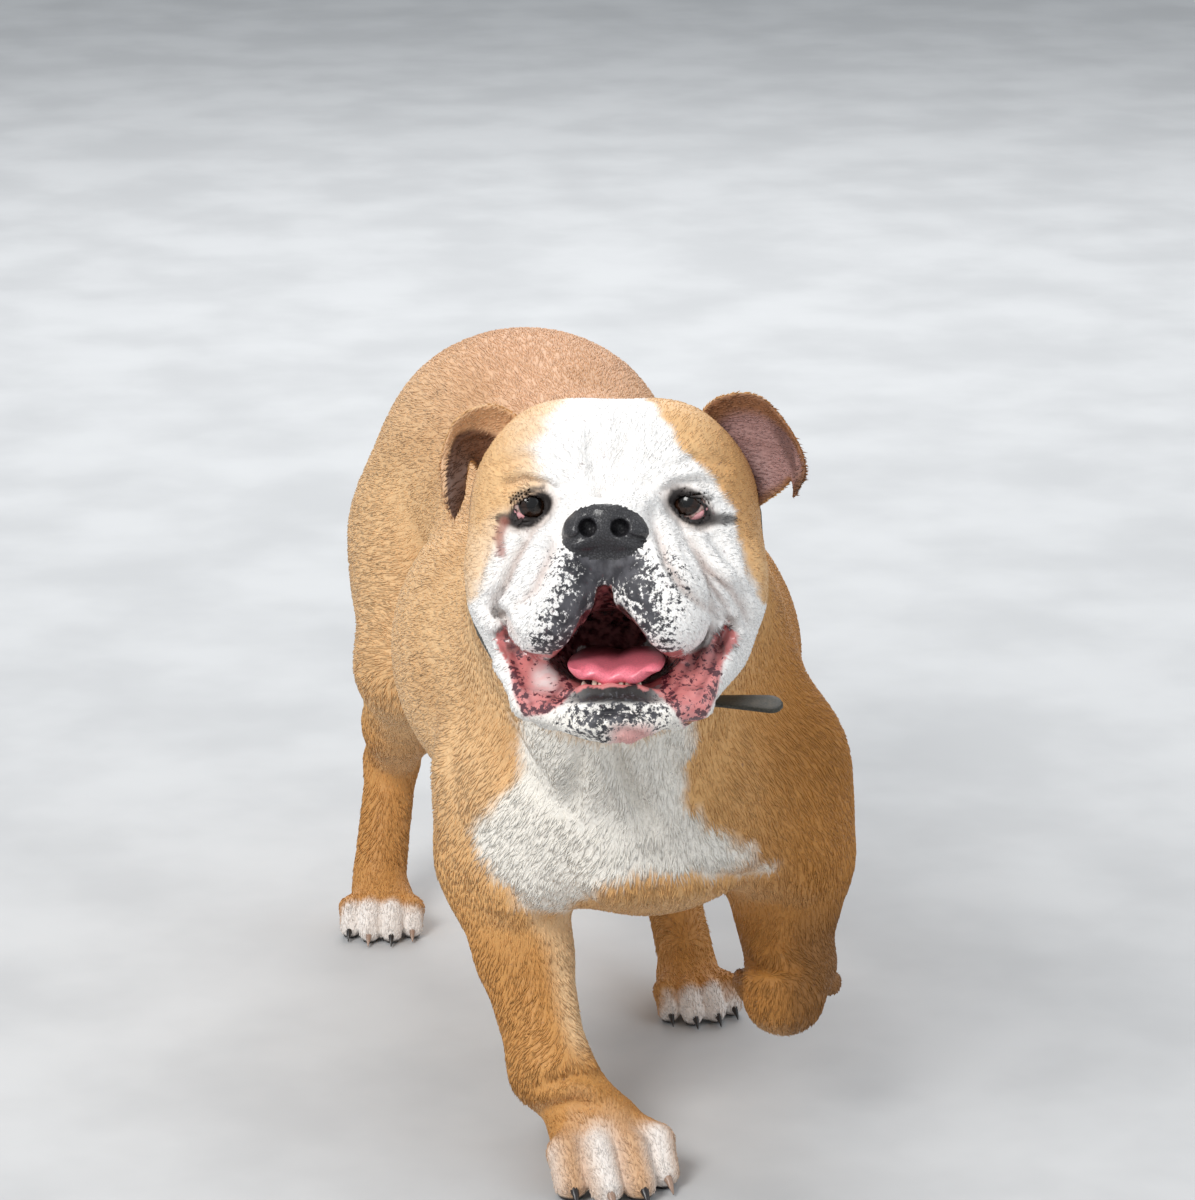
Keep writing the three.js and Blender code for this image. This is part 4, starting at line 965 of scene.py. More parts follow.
# Materials
def new_material(name, roughness, coat=0.0):
    material = bpy.data.materials.new(name)
    material.use_nodes = True
    shader = material.node_tree.nodes["Principled BSDF"]
    shader.inputs["Roughness"].default_value = roughness
    shader.inputs["Coat Weight"].default_value = coat
    shader.inputs["Coat Roughness"].default_value = 0.12
    return material, material.node_tree, shader


def set_or_linked(tree, slot, value):
    """Gives a socket a constant number or colour, or a link from another socket."""
    if isinstance(value, bpy.types.NodeSocket):
        tree.links.new(value, slot)
    elif isinstance(value, (int, float)):
        slot.default_value = value
    else:
        slot.default_value = (*value, 1)


def noise(tree, scale, detail=3.0, stretch=(1, 1, 1), rough=0.5):
    """Noise in the mesh's own coordinates, stretched along the short sides of the factors."""
    made = tree.nodes.new("ShaderNodeTexNoise")
    made.inputs["Scale"].default_value = scale
    made.inputs["Detail"].default_value = detail
    made.inputs["Roughness"].default_value = rough
    tree.links.new(position(tree, stretch), made.inputs["Vector"])
    return made.outputs["Fac"]


def position(tree, scale=(1, 1, 1)):
    spot = tree.nodes.new("ShaderNodeTexCoord")
    mapping = tree.nodes.new("ShaderNodeMapping")
    mapping.inputs["Scale"].default_value = scale
    tree.links.new(spot.outputs["Object"], mapping.inputs["Vector"])
    return mapping.outputs["Vector"]


def mixed(tree, factor, a, b, mode="MIX"):
    """A colour mix of sockets or constant colours."""
    made = tree.nodes.new("ShaderNodeMix")
    made.data_type = "RGBA"
    made.blend_type = mode
    for slot, value in zip((made.inputs[0], made.inputs[6], made.inputs[7]), (factor, a, b)):
        set_or_linked(tree, slot, value)
    return made.outputs[2]


def ranged(tree, value, low, high, to_low=0.0, to_high=1.0):
    made = tree.nodes.new("ShaderNodeMapRange")
    made.interpolation_type = "SMOOTHSTEP"
    tree.links.new(value, made.inputs["Value"])
    for key, number in (("From Min", low), ("From Max", high), ("To Min", to_low), ("To Max", to_high)):
        made.inputs[key].default_value = number
    return made.outputs["Result"]


def bumped(tree, shader, height, strength, distance):
    made = tree.nodes.new("ShaderNodeBump")
    made.inputs["Strength"].default_value = strength
    made.inputs["Distance"].default_value = distance
    tree.links.new(height, made.inputs["Height"])
    tree.links.new(made.outputs["Normal"], shader.inputs["Normal"])


def attribute(tree, name):
    made = tree.nodes.new("ShaderNodeAttribute")
    made.attribute_name = name
    return made.outputs["Color"]


def channels(tree, name):
    """The three numbers of a colour attribute."""
    made = tree.nodes.new("ShaderNodeSeparateColor")
    tree.links.new(attribute(tree, name), made.inputs[0])
    return made.outputs


def spotted(tree, density, grain, sharp, low=None):
    """1 where the density is above a grain of noise, with an edge as soft as sharp is wide."""
    made = tree.nodes.new("ShaderNodeMath")
    made.operation = "SUBTRACT"
    tree.links.new(density, made.inputs[0])
    tree.links.new(ranged(tree, grain, 0.3, 0.7), made.inputs[1])
    return ranged(tree, made.outputs[0], -sharp if low is None else low, sharp)


def blotched(tree, colour, marks):
    """The colour with the lips' dark blotches over it."""
    spots = noise(tree, 260, 4, rough=0.65)
    return mixed(tree, spotted(tree, marks[1], spots, 0.08), colour, tuple(LIP_BLOTCH))


def fur_skin():
    """Short flat fur as colour streaks and bump, with the specks and blotches of bare skin."""
    material, tree, shader = new_material("fur_skin", 0.66)
    marks = channels(tree, "marks")
    hair = noise(tree, 900, 4, (1, 0.22, 0.55))
    shade = mixed(tree, ranged(tree, hair, 0.3, 0.7), (0.90, 0.88, 0.86), (1.05, 1.05, 1.05))
    colour = mixed(tree, 1.0, attribute(tree, "tint"), shade, "MULTIPLY")
    speck = spotted(tree, marks[0], noise(tree, 330, 5, rough=0.7), 0.16, -0.12)
    cloud = ranged(tree, noise(tree, 120, 3), 0.35, 0.65)
    pigment = mixed(tree, cloud, tuple(CHARCOAL), tuple(seen(84, 83, 88)))
    colour = blotched(tree, mixed(tree, speck, colour, pigment), marks)
    tree.links.new(colour, shader.inputs["Base Color"])
    wet = ranged(tree, marks[1], 0.05, 0.3, 0.62, 0.28)
    tree.links.new(wet, shader.inputs["Roughness"])
    bumped(tree, shader, hair, 0.45, 0.0008)
    return material


def nose_leather():
    """Dark pebbled leather, with painted shade in the cracks between the pebbles."""
    material, tree, shader = new_material("nose_leather", 0.42, coat=0.35)
    cells = tree.nodes.new("ShaderNodeTexVoronoi")
    cells.feature = "DISTANCE_TO_EDGE"
    cells.inputs["Scale"].default_value = 620.0
    tree.links.new(position(tree), cells.inputs["Vector"])
    pebbles = ranged(tree, cells.outputs["Distance"], 0.0, 0.22)
    # Painted shade: darker in the cracks between the pebbles
    colour = mixed(tree, pebbles, tuple(seen(20, 19, 21)), tuple(seen(54, 53, 57)))
    cloud = ranged(tree, noise(tree, 90, 2), 0.35, 0.7, 0, 0.5)
    colour = mixed(tree, cloud, colour, tuple(seen(36, 34, 38)))
    tree.links.new(colour, shader.inputs["Base Color"])
    bumped(tree, shader, pebbles, 0.5, 0.0005)
    return material


def wet_lining():
    """The inside of the mouth and the lips' wet edge."""
    material, tree, shader = new_material("wet_lining", 0.25, coat=0.5)
    shader.inputs["Subsurface Weight"].default_value = 0.15
    shader.inputs["Subsurface Radius"].default_value = (0.004, 0.001, 0.001)
    shader.inputs["Subsurface Scale"].default_value = 1.0
    cloud = noise(tree, 160, 4)
    pale = ranged(tree, cloud, 0.35, 0.65, 0, 0.35)
    colour = mixed(tree, pale, attribute(tree, "tint"), tuple(seen(236, 160, 156)))
    colour = blotched(tree, colour, channels(tree, "marks"))
    tree.links.new(colour, shader.inputs["Base Color"])
    bumped(tree, shader, cloud, 0.35, 0.001)
    return material


def tinted(name, roughness, coat, grain, bump, shade=(0.82, 1.1)):
    """A material in the mesh's own tint, with a grain of noise in colour and bump."""
    material, tree, shader = new_material(name, roughness, coat)
    height = noise(tree, *grain)
    darker, lighter = shade
    grainy = mixed(tree, ranged(tree, height, 0.3, 0.7), (darker,) * 3, (lighter,) * 3)
    colour = mixed(tree, 1.0, attribute(tree, "tint"), grainy, "MULTIPLY")
    tree.links.new(colour, shader.inputs["Base Color"])
    bumped(tree, shader, height, *bump)
    return material


def strap_leather():
    """Worn dark green-brown leather."""
    material, tree, shader = new_material("strap_leather", 0.55)
    grain = noise(tree, 700, 5, rough=0.6)
    colour = mixed(tree, ranged(tree, grain, 0.3, 0.7), tuple(seen(44, 42, 36)), tuple(seen(72, 68, 56)))
    wear = ranged(tree, noise(tree, 60, 3), 0.5, 0.75, 0, 0.5)
    colour = mixed(tree, wear, colour, tuple(seen(104, 92, 70)))
    tree.links.new(colour, shader.inputs["Base Color"])
    bumped(tree, shader, grain, 0.4, 0.0004)
    return material


# Tubes and sheets
def tube(rings, closed=False):
    """Points and quads of a tube through rings of equal count, its ends closed by fans of quads."""
    rings = np.asarray(rings)
    rows, count = rings.shape[:2]
    i, j = np.meshgrid(np.arange(count), np.arange(rows if closed else rows - 1))
    onward, below = (i + 1) % count, (j + 1) % rows
    corners = [j * count + i, j * count + onward, below * count + onward, below * count + i]
    quads = np.stack(corners, -1).reshape(-1, 4)
    if not closed:
        n = np.arange(count // 2 - 1)
        cap = np.stack([n, n + 1, count - 2 - n, count - 1 - n], 1)
        quads = np.concatenate([quads, cap[:, ::-1], cap + (rows - 1) * count])
    return rings.reshape(-1, 3), quads


def sheet_quads(rows, columns):
    """Quads between rows of points."""
    i, j = np.meshgrid(np.arange(columns - 1), np.arange(rows - 1))
    k = j * columns + i
    return np.stack([k, k + 1, k + columns + 1, k + columns], -1).reshape(-1, 4)


def together(parts):
    points, quads, start = [], [], 0
    for p, q in parts:
        points.append(p)
        quads.append(q + start)
        start += len(p)
    return np.concatenate(points), np.concatenate(quads)


def once_round(count):
    """Evenly spaced angles of a full turn."""
    return np.linspace(0, 2 * math.pi, count, endpoint=False)


def round_end(t, start, least, power=2):
    """1 until the start, then down in a curve to the least as t goes on to 1."""
    return np.sqrt(np.maximum(least, 1 - np.maximum(0, (t - start) / (1 - start)) ** power))


def grid_of(*values):
    """Points from their three coordinates, each of them a number or an array."""
    return np.stack(np.broadcast_arrays(*values), -1)


def spline(rows, t):
    """A smooth curve through rows of points, at t from 0 to 1."""
    rows = np.asarray(rows, float)
    last = len(rows) - 1
    rows = np.concatenate([[2 * rows[0] - rows[1]], rows, [2 * rows[last] - rows[last - 1]]])
    s = np.clip(t, 0, 1) * last
    k = np.minimum(s.astype(int), last - 1)
    f = (s - k)[:, None]
    p0, p1, p2, p3 = (rows[k + n] for n in range(4))
    slope, curve = p2 - p0, 2 * p0 - 5 * p1 + 4 * p2 - p3
    return 0.5 * (2 * p1 + slope * f + curve * f**2 + (3 * p1 - p0 - 3 * p2 + p3) * f**3)


# Ears, as rows from root to tip, each from the upper rim to the lower one
SIDES = {"left": 1, "right": -1}
EARS = {
    "left": [
        [(44, 52, 44), (62, 62, 24), (74, 46, -8)],
        [(60, 46, 62), (76, 58, 34), (86, 42, 0)],
        [(84, 40, 64), (90, 52, 34), (98, 40, 8)],
        [(102, 32, 46), (104, 40, 32), (104, 36, 14)],
        [(113, 26, 22), (109, 30, 18), (106, 30, 10)],
        [(107, 22, 5), (106.5, 23, 4.5), (106, 24, 4)],
    ],
    "right": [
        [(-46, 54, 44), (-58, 58, 28), (-64, 44, 10)],
        [(-72, 46, 59), (-78, 54, 38), (-78, 40, 20)],
        [(-93, 36, 50), (-92, 42, 36), (-84, 32, 26)],
        [(-101, 28, 28), (-94, 28, 22), (-86, 26, 18)],
        [(-100, 24, 8), (-94, 22, 4), (-88, 24, 4)],
        [(-94, 22, -8), (-93.5, 22, -8.5), (-93, 22, -8)],
    ],
}
EAR_ROWS, EAR_COLUMNS = 56, 30


def ear(side):
    """An ear's points and quads, and for each point 1 outside or 0 inside, and its place across and along."""
    v = np.linspace(0, 1, EAR_ROWS)[:, None]
    u = np.linspace(0, 1, EAR_COLUMNS)[None]
    upper, middle, lower = (spline([row[n] for row in EARS[side]], v[:, 0])[:, None] for n in range(3))
    w = u[..., None]
    sheet = upper * (1 - w) * (1 - 2 * w) + middle * 4 * w * (1 - w) + lower * w * (2 * w - 1)
    out = unit(np.cross(np.gradient(sheet, axis=1), np.gradient(sheet, axis=0)))
    if out[: EAR_ROWS // 2, :, 1].mean() < 0:
        out = -out
    arch = np.sin(math.pi * u)
    thick = (0.8 + 1.2 * (1 - v)) * (0.45 + 0.55 * arch**0.5)
    folds = 0.9 * np.sin(9 * v + 2.5 * u) * arch * (1 - v)
    ridges = 1.1 * bell(u - 0.35 - 0.2 * v, 0.07) * soft(0.75, 0.3, v)
    layers = [sheet + out * thick[..., None], sheet - out * (thick + 0.4 * folds + ridges)[..., None]]
    points = placed(HEAD, np.stack(layers).reshape(-1, 3))
    quads = sheet_quads(EAR_ROWS, EAR_COLUMNS)
    grid = np.arange(EAR_ROWS * EAR_COLUMNS).reshape(EAR_ROWS, EAR_COLUMNS)
    faces = [quads, quads[:, ::-1] + grid.size]
    for column, step in ((0, 1), (-1, -1)):
        a, b = grid[:-1, column], grid[1:, column]
        faces.append(np.stack([a, b, b + grid.size, a + grid.size], 1)[:, ::step])
    for row, step in ((0, 1), (-1, -1)):
        a, b = grid[row, :-1], grid[row, 1:]
        faces.append(np.stack([a, a + grid.size, b + grid.size, b], 1)[:, ::step])
    quads = np.concatenate(faces)
    way = normals_of(points, quads)[: grid.size].mean(0)
    if way @ (points[: grid.size].mean(0) - points[grid.size :].mean(0)) < 0:
        quads = quads[:, ::-1]
    across, along_it = np.tile(u.ravel(), 2 * EAR_ROWS), np.tile(np.repeat(v.ravel(), EAR_COLUMNS), 2)
    return points, quads, np.repeat([1.0, 0.0], grid.size), across, along_it


def ear_tint(side, outer, across, along_it):
    """Fawn outside, brown rims, greyish pink inside; the right one dark brown inside as painted shade, as far
    as it shows.
    """
    tint = plain(FAWN * 0.75 + CREAM * 0.25, outer)
    if side == "left":
        tint = painted(tint, seen(172, 116, 66), soft(0.25, 0.6, along_it))
        tint = painted(tint, seen(128, 84, 52), soft(0.6, 1, along_it))
        cloud = soft(0.2, 0.8, ripple(np.stack([across * 30, along_it * 60, outer], 1), 9))
        inside = painted(plain(seen(164, 128, 124), outer), seen(122, 92, 88), cloud)
        rims = np.maximum(soft(0.24, 0.10, across), soft(0.90, 0.99, across))
        inside = painted(inside, seen(136, 92, 60), rims * 0.95)
        inside = painted(inside, seen(112, 76, 52), soft(0.7, 0.95, along_it))
    else:
        tint = painted(tint, seen(206, 156, 112), soft(0.4, 0.8, along_it))
        # Painted shade: the right ear's inner side, which hangs in shade, laid dark brown
        inside = painted(plain(seen(104, 68, 46), outer), seen(74, 48, 36), soft(0.2, 0.6, along_it) * 0.6)
        rim = soft(0.30, 0.18, across - 0.16 * soft(0.5, 0.0, along_it))
        inside = painted(inside, seen(214, 172, 132), rim)
    return painted(inside, tint, outer)


# Eyes
GAZE = {"left": (-0.22, -1, 0.2), "right": (0.28, -1, 0.02)}


def eye(side):
    """An eyeball bulging over the iris; for each point also its angle off the gaze and round it."""
    gaze = unit(np.array(GAZE[side]))
    across = unit(np.cross(gaze, (0, 0, 1)))
    up = np.cross(across, gaze)
    off, turn = np.linspace(0.01, math.pi - 0.01, 40), once_round(48)
    t, a = off[:, None, None], turn[None, :, None]
    ball = gaze * np.cos(t) + (across * np.cos(a) + up * np.sin(a)) * np.sin(t)
    radius = EYE_RADIUS + 0.1 + 0.55 * bell(t, 0.5)
    points, quads = tube(ball * radius + [SIDES[side] * EYE_SPACING / 2, 0, 0])
    return placed(HEAD, points), quads[:, ::-1], np.repeat(off, len(turn)), np.tile(turn, len(off))


def eye_tint(off, round_it):
    """Black pupil, brown iris with rays and a dark rim, and a little of the white, veined."""
    rays = 0.5 + 0.5 * np.sin(round_it * 23 + 2 * np.sin(round_it * 7))
    iris = seen(40, 23, 14) * (0.7 + 0.6 * rays[:, None])
    iris = painted(iris, seen(6, 5, 5), soft(0.40, 0.32, off))
    iris = painted(iris, seen(16, 11, 9), soft(0.56, 0.7, off))
    veins = soft(0.2, 0.9, np.sin(round_it * 17 + off * 9)) * 0.6
    white = painted(plain(seen(196, 170, 162), off), seen(160, 84, 80), veins)
    return painted(iris, white, soft(0.74, 0.82, off))


def haw(side):
    """The pink inner lid in the lower outer corner: a thin shell over the ball."""
    rows, columns = 8, 20
    steps_across = np.linspace(0, 1, columns)
    front, rim, across = np.meshgrid([1, 0], np.linspace(1, 0, rows), steps_across, indexing="ij")
    turn = np.radians(-175 + 100 * across)
    if side == "left":
        turn = -math.pi - turn
    low = 0.98 - 0.42 * rim * np.sin(math.pi * across) ** 0.8
    radius = EYE_RADIUS + 0.2 + front * (0.7 - 0.5 * rim**3)
    shell = grid_of(np.cos(turn) * np.sin(low), -np.cos(low), np.sin(turn) * np.sin(low))
    points = shell * radius[..., None] + [SIDES[side] * EYE_SPACING / 2, 0, 0]
    quads = sheet_quads(rows, columns)
    return placed(HEAD, points.reshape(-1, 3)), np.concatenate([quads, quads[:, ::-1] + rows * columns])


# Tongue, teeth and claws
def tongue():
    """A flat tube, grooved along its top, waved toward the tip and rough with small bumps."""
    t, a = np.linspace(0, 1, 40)[:, None], once_round(48)
    c, q = np.cos(a), np.sin(a)
    end = round_end(t, 0.86, 0.02, 2.4)
    wide = (22 + 6 * np.sin(math.pi * t * 0.8)) * (0.72 + 0.28 * end)
    groove = np.where(q > 0, 2 * bell(4.5 * c, 1) * end, 0)
    wave = 1.3 * np.sin(3.1 * math.pi * c) * soft(0.6, 1, t)
    height = -90 - 5 * t - 4 * t * t + (7 - 1.5 * t) * end * q - groove + 4 * c * c + wave
    points, quads = tube(grid_of(JAW_SHIFT + 2 + wide * c, 16 - 73 * t, height))
    points[:, 2] += 0.16 * np.sin(points[:, 0] * 2.6) * np.sin(points[:, 1] * 2.4)
    return placed(HEAD, points), quads


TEETH = [-15, -9, -5.4, -1.8, 1.8, 5.4, 9, 15]


def teeth():
    """The lower incisors, and a canine at each end of their row."""
    parts = []
    t, a = np.linspace(0, 1, 12)[:, None], once_round(16)
    for n, x in enumerate(TEETH):
        if abs(x) > 12:
            tall, radius, body = 10, 2.4, 1 - 0.5 * t**2
        else:
            tall, radius, body = 12.4, 1.55, 1 + 0.15 * t - 0.25 * t**4
        wide = radius * body * round_end(t, 0.75, 0.03)
        across = JAW_SHIFT + x + 0.06 * x * t + wide * np.cos(a)
        back = x * x / 30 - 52 - 1.2 * t + 0.75 * wide * np.sin(a)
        parts.append(tube(grid_of(across, back, (tall + 0.9 * math.sin(5 * n)) * t - 111)))
    points, quads = together(parts)
    return placed(HEAD, points), quads


CLAW_TINTS = {True: (seen(96, 80, 70), seen(34, 29, 28)), False: (seen(214, 188, 172), seen(158, 130, 112))}


def claws():
    """A curved claw on each toe, and their colours, dark or light, from root to tip."""
    parts, tints = [], []
    t, a = np.linspace(0, 1, 12)[:, None], once_round(14)
    section = np.outer(np.cos(a), [0.78, 0, 0]) + np.outer(np.sin(a), unit(np.array([0, 0.35, 1])))
    wide = 4.1 * (1 - t**1.6) + 0.5
    for n, (name, place) in enumerate(PAWS.items()):
        long = 8 if name == "fore_left" else 9
        for k, (x, reach, _) in enumerate(TOES):
            root = np.array([x, 2 - reach, TOE_HEIGHT + 3])
            bend = np.array([x * 1.02, -reach - 9 - long * 0.3, TOE_HEIGHT + 1])
            tip = np.array([x * 1.04, -reach - 8 - long, TOE_HEIGHT - 7])
            middle = root * (1 - t) ** 2 + bend * 2 * t * (1 - t) + tip * t * t
            points, quads = tube(middle[:, None] + section * wide[..., None])
            parts.append((placed(place, points), quads))
            at_root, at_tip = CLAW_TINTS[name in ("hind_left", "fore_left") or (k + n) % 2 == 0]
            tints.append(at_root + (at_tip - at_root) * np.repeat(np.clip(t * 1.6, 0, 1), len(a), 0))
    return *together(parts), np.concatenate(tints)


# Collar
COLLAR_AT, COLLAR_LEAN, COLLAR_WIDTH, COLLAR_THICK = (0, 86, -34), -12, 24, 3
COLLAR_SINK = 1.6  # how far its inner face lies in the neck
COLLAR = HEAD @ Matrix.Translation(COLLAR_AT) @ Matrix.Rotation(math.radians(COLLAR_LEAN), 4, "X")
NECK_FORMS = torso() + neck() + head()


def collar_band(count=120, across=9):
    """A strap round the neck, pressed to the skin, with rounded edges and a row of stitches near each."""
    reach = np.linspace(40, 190, 601)
    sides = np.linspace(-1, 1, across)
    radius = np.zeros((count, across))
    a, r = np.meshgrid(once_round(count), reach, indexing="ij")
    for k, side in enumerate(sides):
        rays = grid_of(r * np.cos(a), side * COLLAR_WIDTH / 2, r * np.sin(a)).reshape(-1, 3)
        value = field_over(*placed(COLLAR, rays).T, NECK_FORMS).reshape(a.shape)
        radius[:, k] = reach[np.argmax(value > 0.3, axis=1)]
    for _ in range(3):
        radius = (np.roll(radius, 1, 0) + 2 * radius + np.roll(radius, -1, 0)) / 4
    radius = np.maximum(radius, radius.mean(1, keepdims=True) - 1.5)
    thick = COLLAR_THICK * (0.5 * np.sqrt(np.clip(1 - np.abs(sides) ** 8, 0, 1)) + 0.1)
    stitches = 0.25 * (np.abs(np.abs(sides) - 0.75) < 0.06) * (np.arange(count) % 3 > 0)[:, None]
    r = np.concatenate([radius + thick - stitches, radius[:, ::-1] - COLLAR_SINK], 1)
    a = once_round(count)[:, None]
    heights = np.concatenate([sides, sides[::-1]]) * COLLAR_WIDTH / 2
    points, quads = tube(grid_of(r * np.cos(a), heights, r * np.sin(a)), closed=True)
    return placed(COLLAR, points), quads


def collar_tip(rows=40, across=10):
    """The strap's loose end, from under the throat out to the left, turning its flat side to the front."""
    t = np.linspace(0, 1, rows)[:, None]
    k = np.concatenate([np.linspace(-1, 1, across), np.linspace(1, -1, across)])
    aside = 10 * round_end(t, 0.88, 0.02) * k
    thick = np.repeat([1.3, -1.3], across) * (1 - 0.5 * k**6)
    c, q = np.cos(np.radians(30 * t)), np.sin(np.radians(30 * t))
    y = 74 - 6 * t + c * aside - q * thick
    z = -117 - 3 * t * t + q * aside + c * thick
    points, quads = tube(grid_of(22 + 77 * t, y, z))
    return placed(HEAD, points), quads


# The coat: short tufts that follow its lie
TUFT_FACES = np.array([
    (0, 3, 5), (0, 5, 2), (2, 5, 4), (2, 4, 1), (0, 1, 4), (0, 4, 3), (3, 6, 5), (5, 6, 4), (3, 4, 6),
    (0, 2, 1),
])
# Painted shade: each tuft darker toward its root and lighter toward its tip
TUFT_ROOT_SHADE = np.array([0.94, 0.94, 0.97, 1.0, 1.0, 1.02, 1.05])[:, None]
TUFT_PATCH = 0.003
TUFT_MAP = np.array([(0.1, 0.0), (0.9, 0.0), (0.5, 0.0), (0.15, 0.5), (0.85, 0.5), (0.5, 0.5), (0.5, 1.0)])
HAIR_START = (NOSE[0], -52, -8)  # the point of the face that its hair runs away from


def turned(way, other, amount):
    return way * (1 - amount[:, None]) + other * amount[:, None]


def flat_on(normals, way):
    """The way, pressed flat on the skin."""
    return unit(way - normals * (way * normals).sum(1, keepdims=True))


def lie_of(points, normals):
    """The way the hair runs: from the nose back over the head, back along the body, down the legs."""
    x, y, z = points.T
    on_legs = soft(230, 170, z) * soft(0.9, 0.3, np.abs(normals[:, 2]))
    way = turned(np.array([0, 1, -0.4]), np.array([0, 0.2, -1]), on_legs)
    spread = grid_of(0.5 * np.sign(x) * soft(0, 60, np.abs(x)), 0.35, -1.0)
    way = turned(way, spread, soft(20, -50, y) * (1 - on_legs))
    h = to_head(points)
    from_nose = unit(h - HAIR_START) + [0, 0.35, 0]
    on_head = soft(105, 80, h[:, 1]) * soft(150, 125, from_skull(h))
    way = turned(way, from_nose @ np.array(HEAD)[:3, :3].T, on_head)
    for place in PAWS.values():
        p = placed(place.inverted(), points)
        near = soft(60, 40, np.linalg.norm(p - PAW_MIDDLE, axis=1))
        way = turned(way, unit(np.array(place)[:3, :3] @ [0, -1, -0.25]), near)
    return flat_on(normals, way)


def lie_on_ear(side):
    """A function that gives the way the hair runs on an ear: from its root toward its tip."""
    root, tip = placed(HEAD, [EARS[side][0][1], EARS[side][4][1]])
    return lambda points, normals: flat_on(normals, tip - root)


def scattered(points, quads, density):
    """Random places on quads: the quad and its corner weights, with so many per square millimetre."""
    a, b, c = (points[quads[:, k]] for k in range(3))
    want = np.linalg.norm(np.cross(b - a, c - a), axis=1) * density
    count = np.floor(want + rng.random(len(want))).astype(int)
    face = np.repeat(np.arange(len(quads)), count)
    u, v = rng.random(len(face)), rng.random(len(face))
    return face, np.stack([(1 - u) * (1 - v), u * (1 - v), u * v, (1 - u) * v], 1)


def tufts(roots, normals, way, sizes, tint):
    """Closed flat tufts with a ridge: 7 points and 10 triangles each, and a colour for each point."""
    n = len(roots)
    spin = rng.normal(0, 0.16, n)[:, None]
    way = way * np.cos(spin) + np.cross(normals, way) * np.sin(spin)
    side = np.cross(normals, way)
    spreads = ((0.75, 1.25), (0.75, 1.2), (0.4, 1.35))
    length, width, rise = [(s * rng.uniform(*spread, n))[:, None] for s, spread in zip(sizes.T, spreads)]
    bend = rng.normal(0, 0.12, n)[:, None]
    thick = width * 0.3
    base = roots - normals * 0.35
    middle = roots + way * length * 0.5 + normals * rise * 0.6 + side * bend * length * 0.2
    tip = roots + way * length + normals * rise + side * bend * length * 0.6
    edge, lower = side * width * 0.42, middle - normals * thick * 0.3
    points = np.stack([
        base - side * width / 2, base + side * width / 2, base + normals * (thick + 0.3),
        lower - edge, lower + edge, middle + normals * thick, tip,
    ], 1)
    faces = np.arange(n)[:, None, None] * 7 + TUFT_FACES
    shade = rng.uniform(0.93, 1.06, n)[:, None, None]
    # painted shade toward the tufts' roots
    colours = np.clip(tint[:, None] * shade * TUFT_ROOT_SHADE, 0, 1)
    return points.reshape(-1, 3), faces.reshape(-1, 3), colours.reshape(-1, 3)


def unwrapped(roots, axis):
    """Round and along an axis of the body part: the places of the roots in a unit square."""
    off = roots - roots.mean(0)
    aside = unit(np.cross(axis, (0, 0, 1)))
    turn = np.arctan2(off @ aside, off @ np.cross(aside, axis))
    along_it = off @ axis
    t = (along_it - along_it.min()) / np.ptp(along_it)
    return np.stack([(turn + math.pi) / (2 * math.pi), t], 1) * (1 - 3 * TUFT_PATCH) + TUFT_PATCH


def grow(name, surface, quads, density, sizes, lie, axis, slot):
    """A piece of coat on quads of a surface, which is its points, normals and colours."""
    face, weights = scattered(surface[0], quads, density)
    roots, normals, tint = ((values[quads[face]] * weights[..., None]).sum(1) for values in surface)
    normals = unit(normals)
    points, faces, colours = tufts(roots, normals, lie(roots, normals), sizes[face], tint)
    points[:, 2] = np.maximum(points[:, 2], 0.1)
    piece = make_piece(name, (points, faces), HAIR, slot, tint=colours)
    flat = (unwrapped(roots, np.array(axis))[:, None] + TUFT_MAP * TUFT_PATCH).reshape(-1, 2)
    layer = piece.data.uv_layers.new(name="OFBake")
    layer.data.foreach_set("uv", flat[faces.ravel()].astype(np.float32).ravel())


def make_piece(name, surface, material, slot, *nodes, **colours):
    """A piece from its points and faces, and the nodes that it replaces; its slot is not used."""
    piece = make_mesh(name, *surface, material, **colours)
    place(piece, slot, *nodes)
    return piece


# The skin
low = Vector(CAD_BOX[0]) * 1000 + SHIFT
high = Vector(CAD_BOX[1]) * 1000 + SHIFT
COARSE = 1.0
FLESH = torso() + legs() + tail() + neck() + head() + lids() + lip_roll() + wrists()
FLESH += [form for place_of_paw in PAWS.values() for form in paw(place_of_paw)] + pads()
LINES = (
    steps(low.x - 6, (-150, 3.2 * COARSE), (75, 1.6 * COARSE), (high.x + 6, 3.2 * COARSE)),
    steps(low.y - 6, (-95, 1.5 * COARSE), (high.y + 6, 4.0 * COARSE)),
    steps(-7.3, (60, 2.2 * COARSE), (310, 3.4 * COARSE), (high.z + 6, 1.5 * COARSE)),
)
skin_points, skin_quads = largest(*skin_of(FLESH, LINES))
skin_normals = normals_of(skin_points, skin_quads)
mouth_distance = mouth_near(skin_points)
skin_points = folded(skin_points, skin_normals)
skin_points[:, 2] = np.maximum(skin_points[:, 2], 0)
skin_normals = normals_of(skin_points, skin_quads)
tint, marks = markings(skin_points, skin_normals)

# The parts of the skin that are the mouth's lining and the nose's leather
head_points = to_head(skin_points)
mouth_u, mouth_v = face_view(head_points)
inward = head_points[:, 1]
central = soft(42, 34, np.abs(mouth_u - 3))
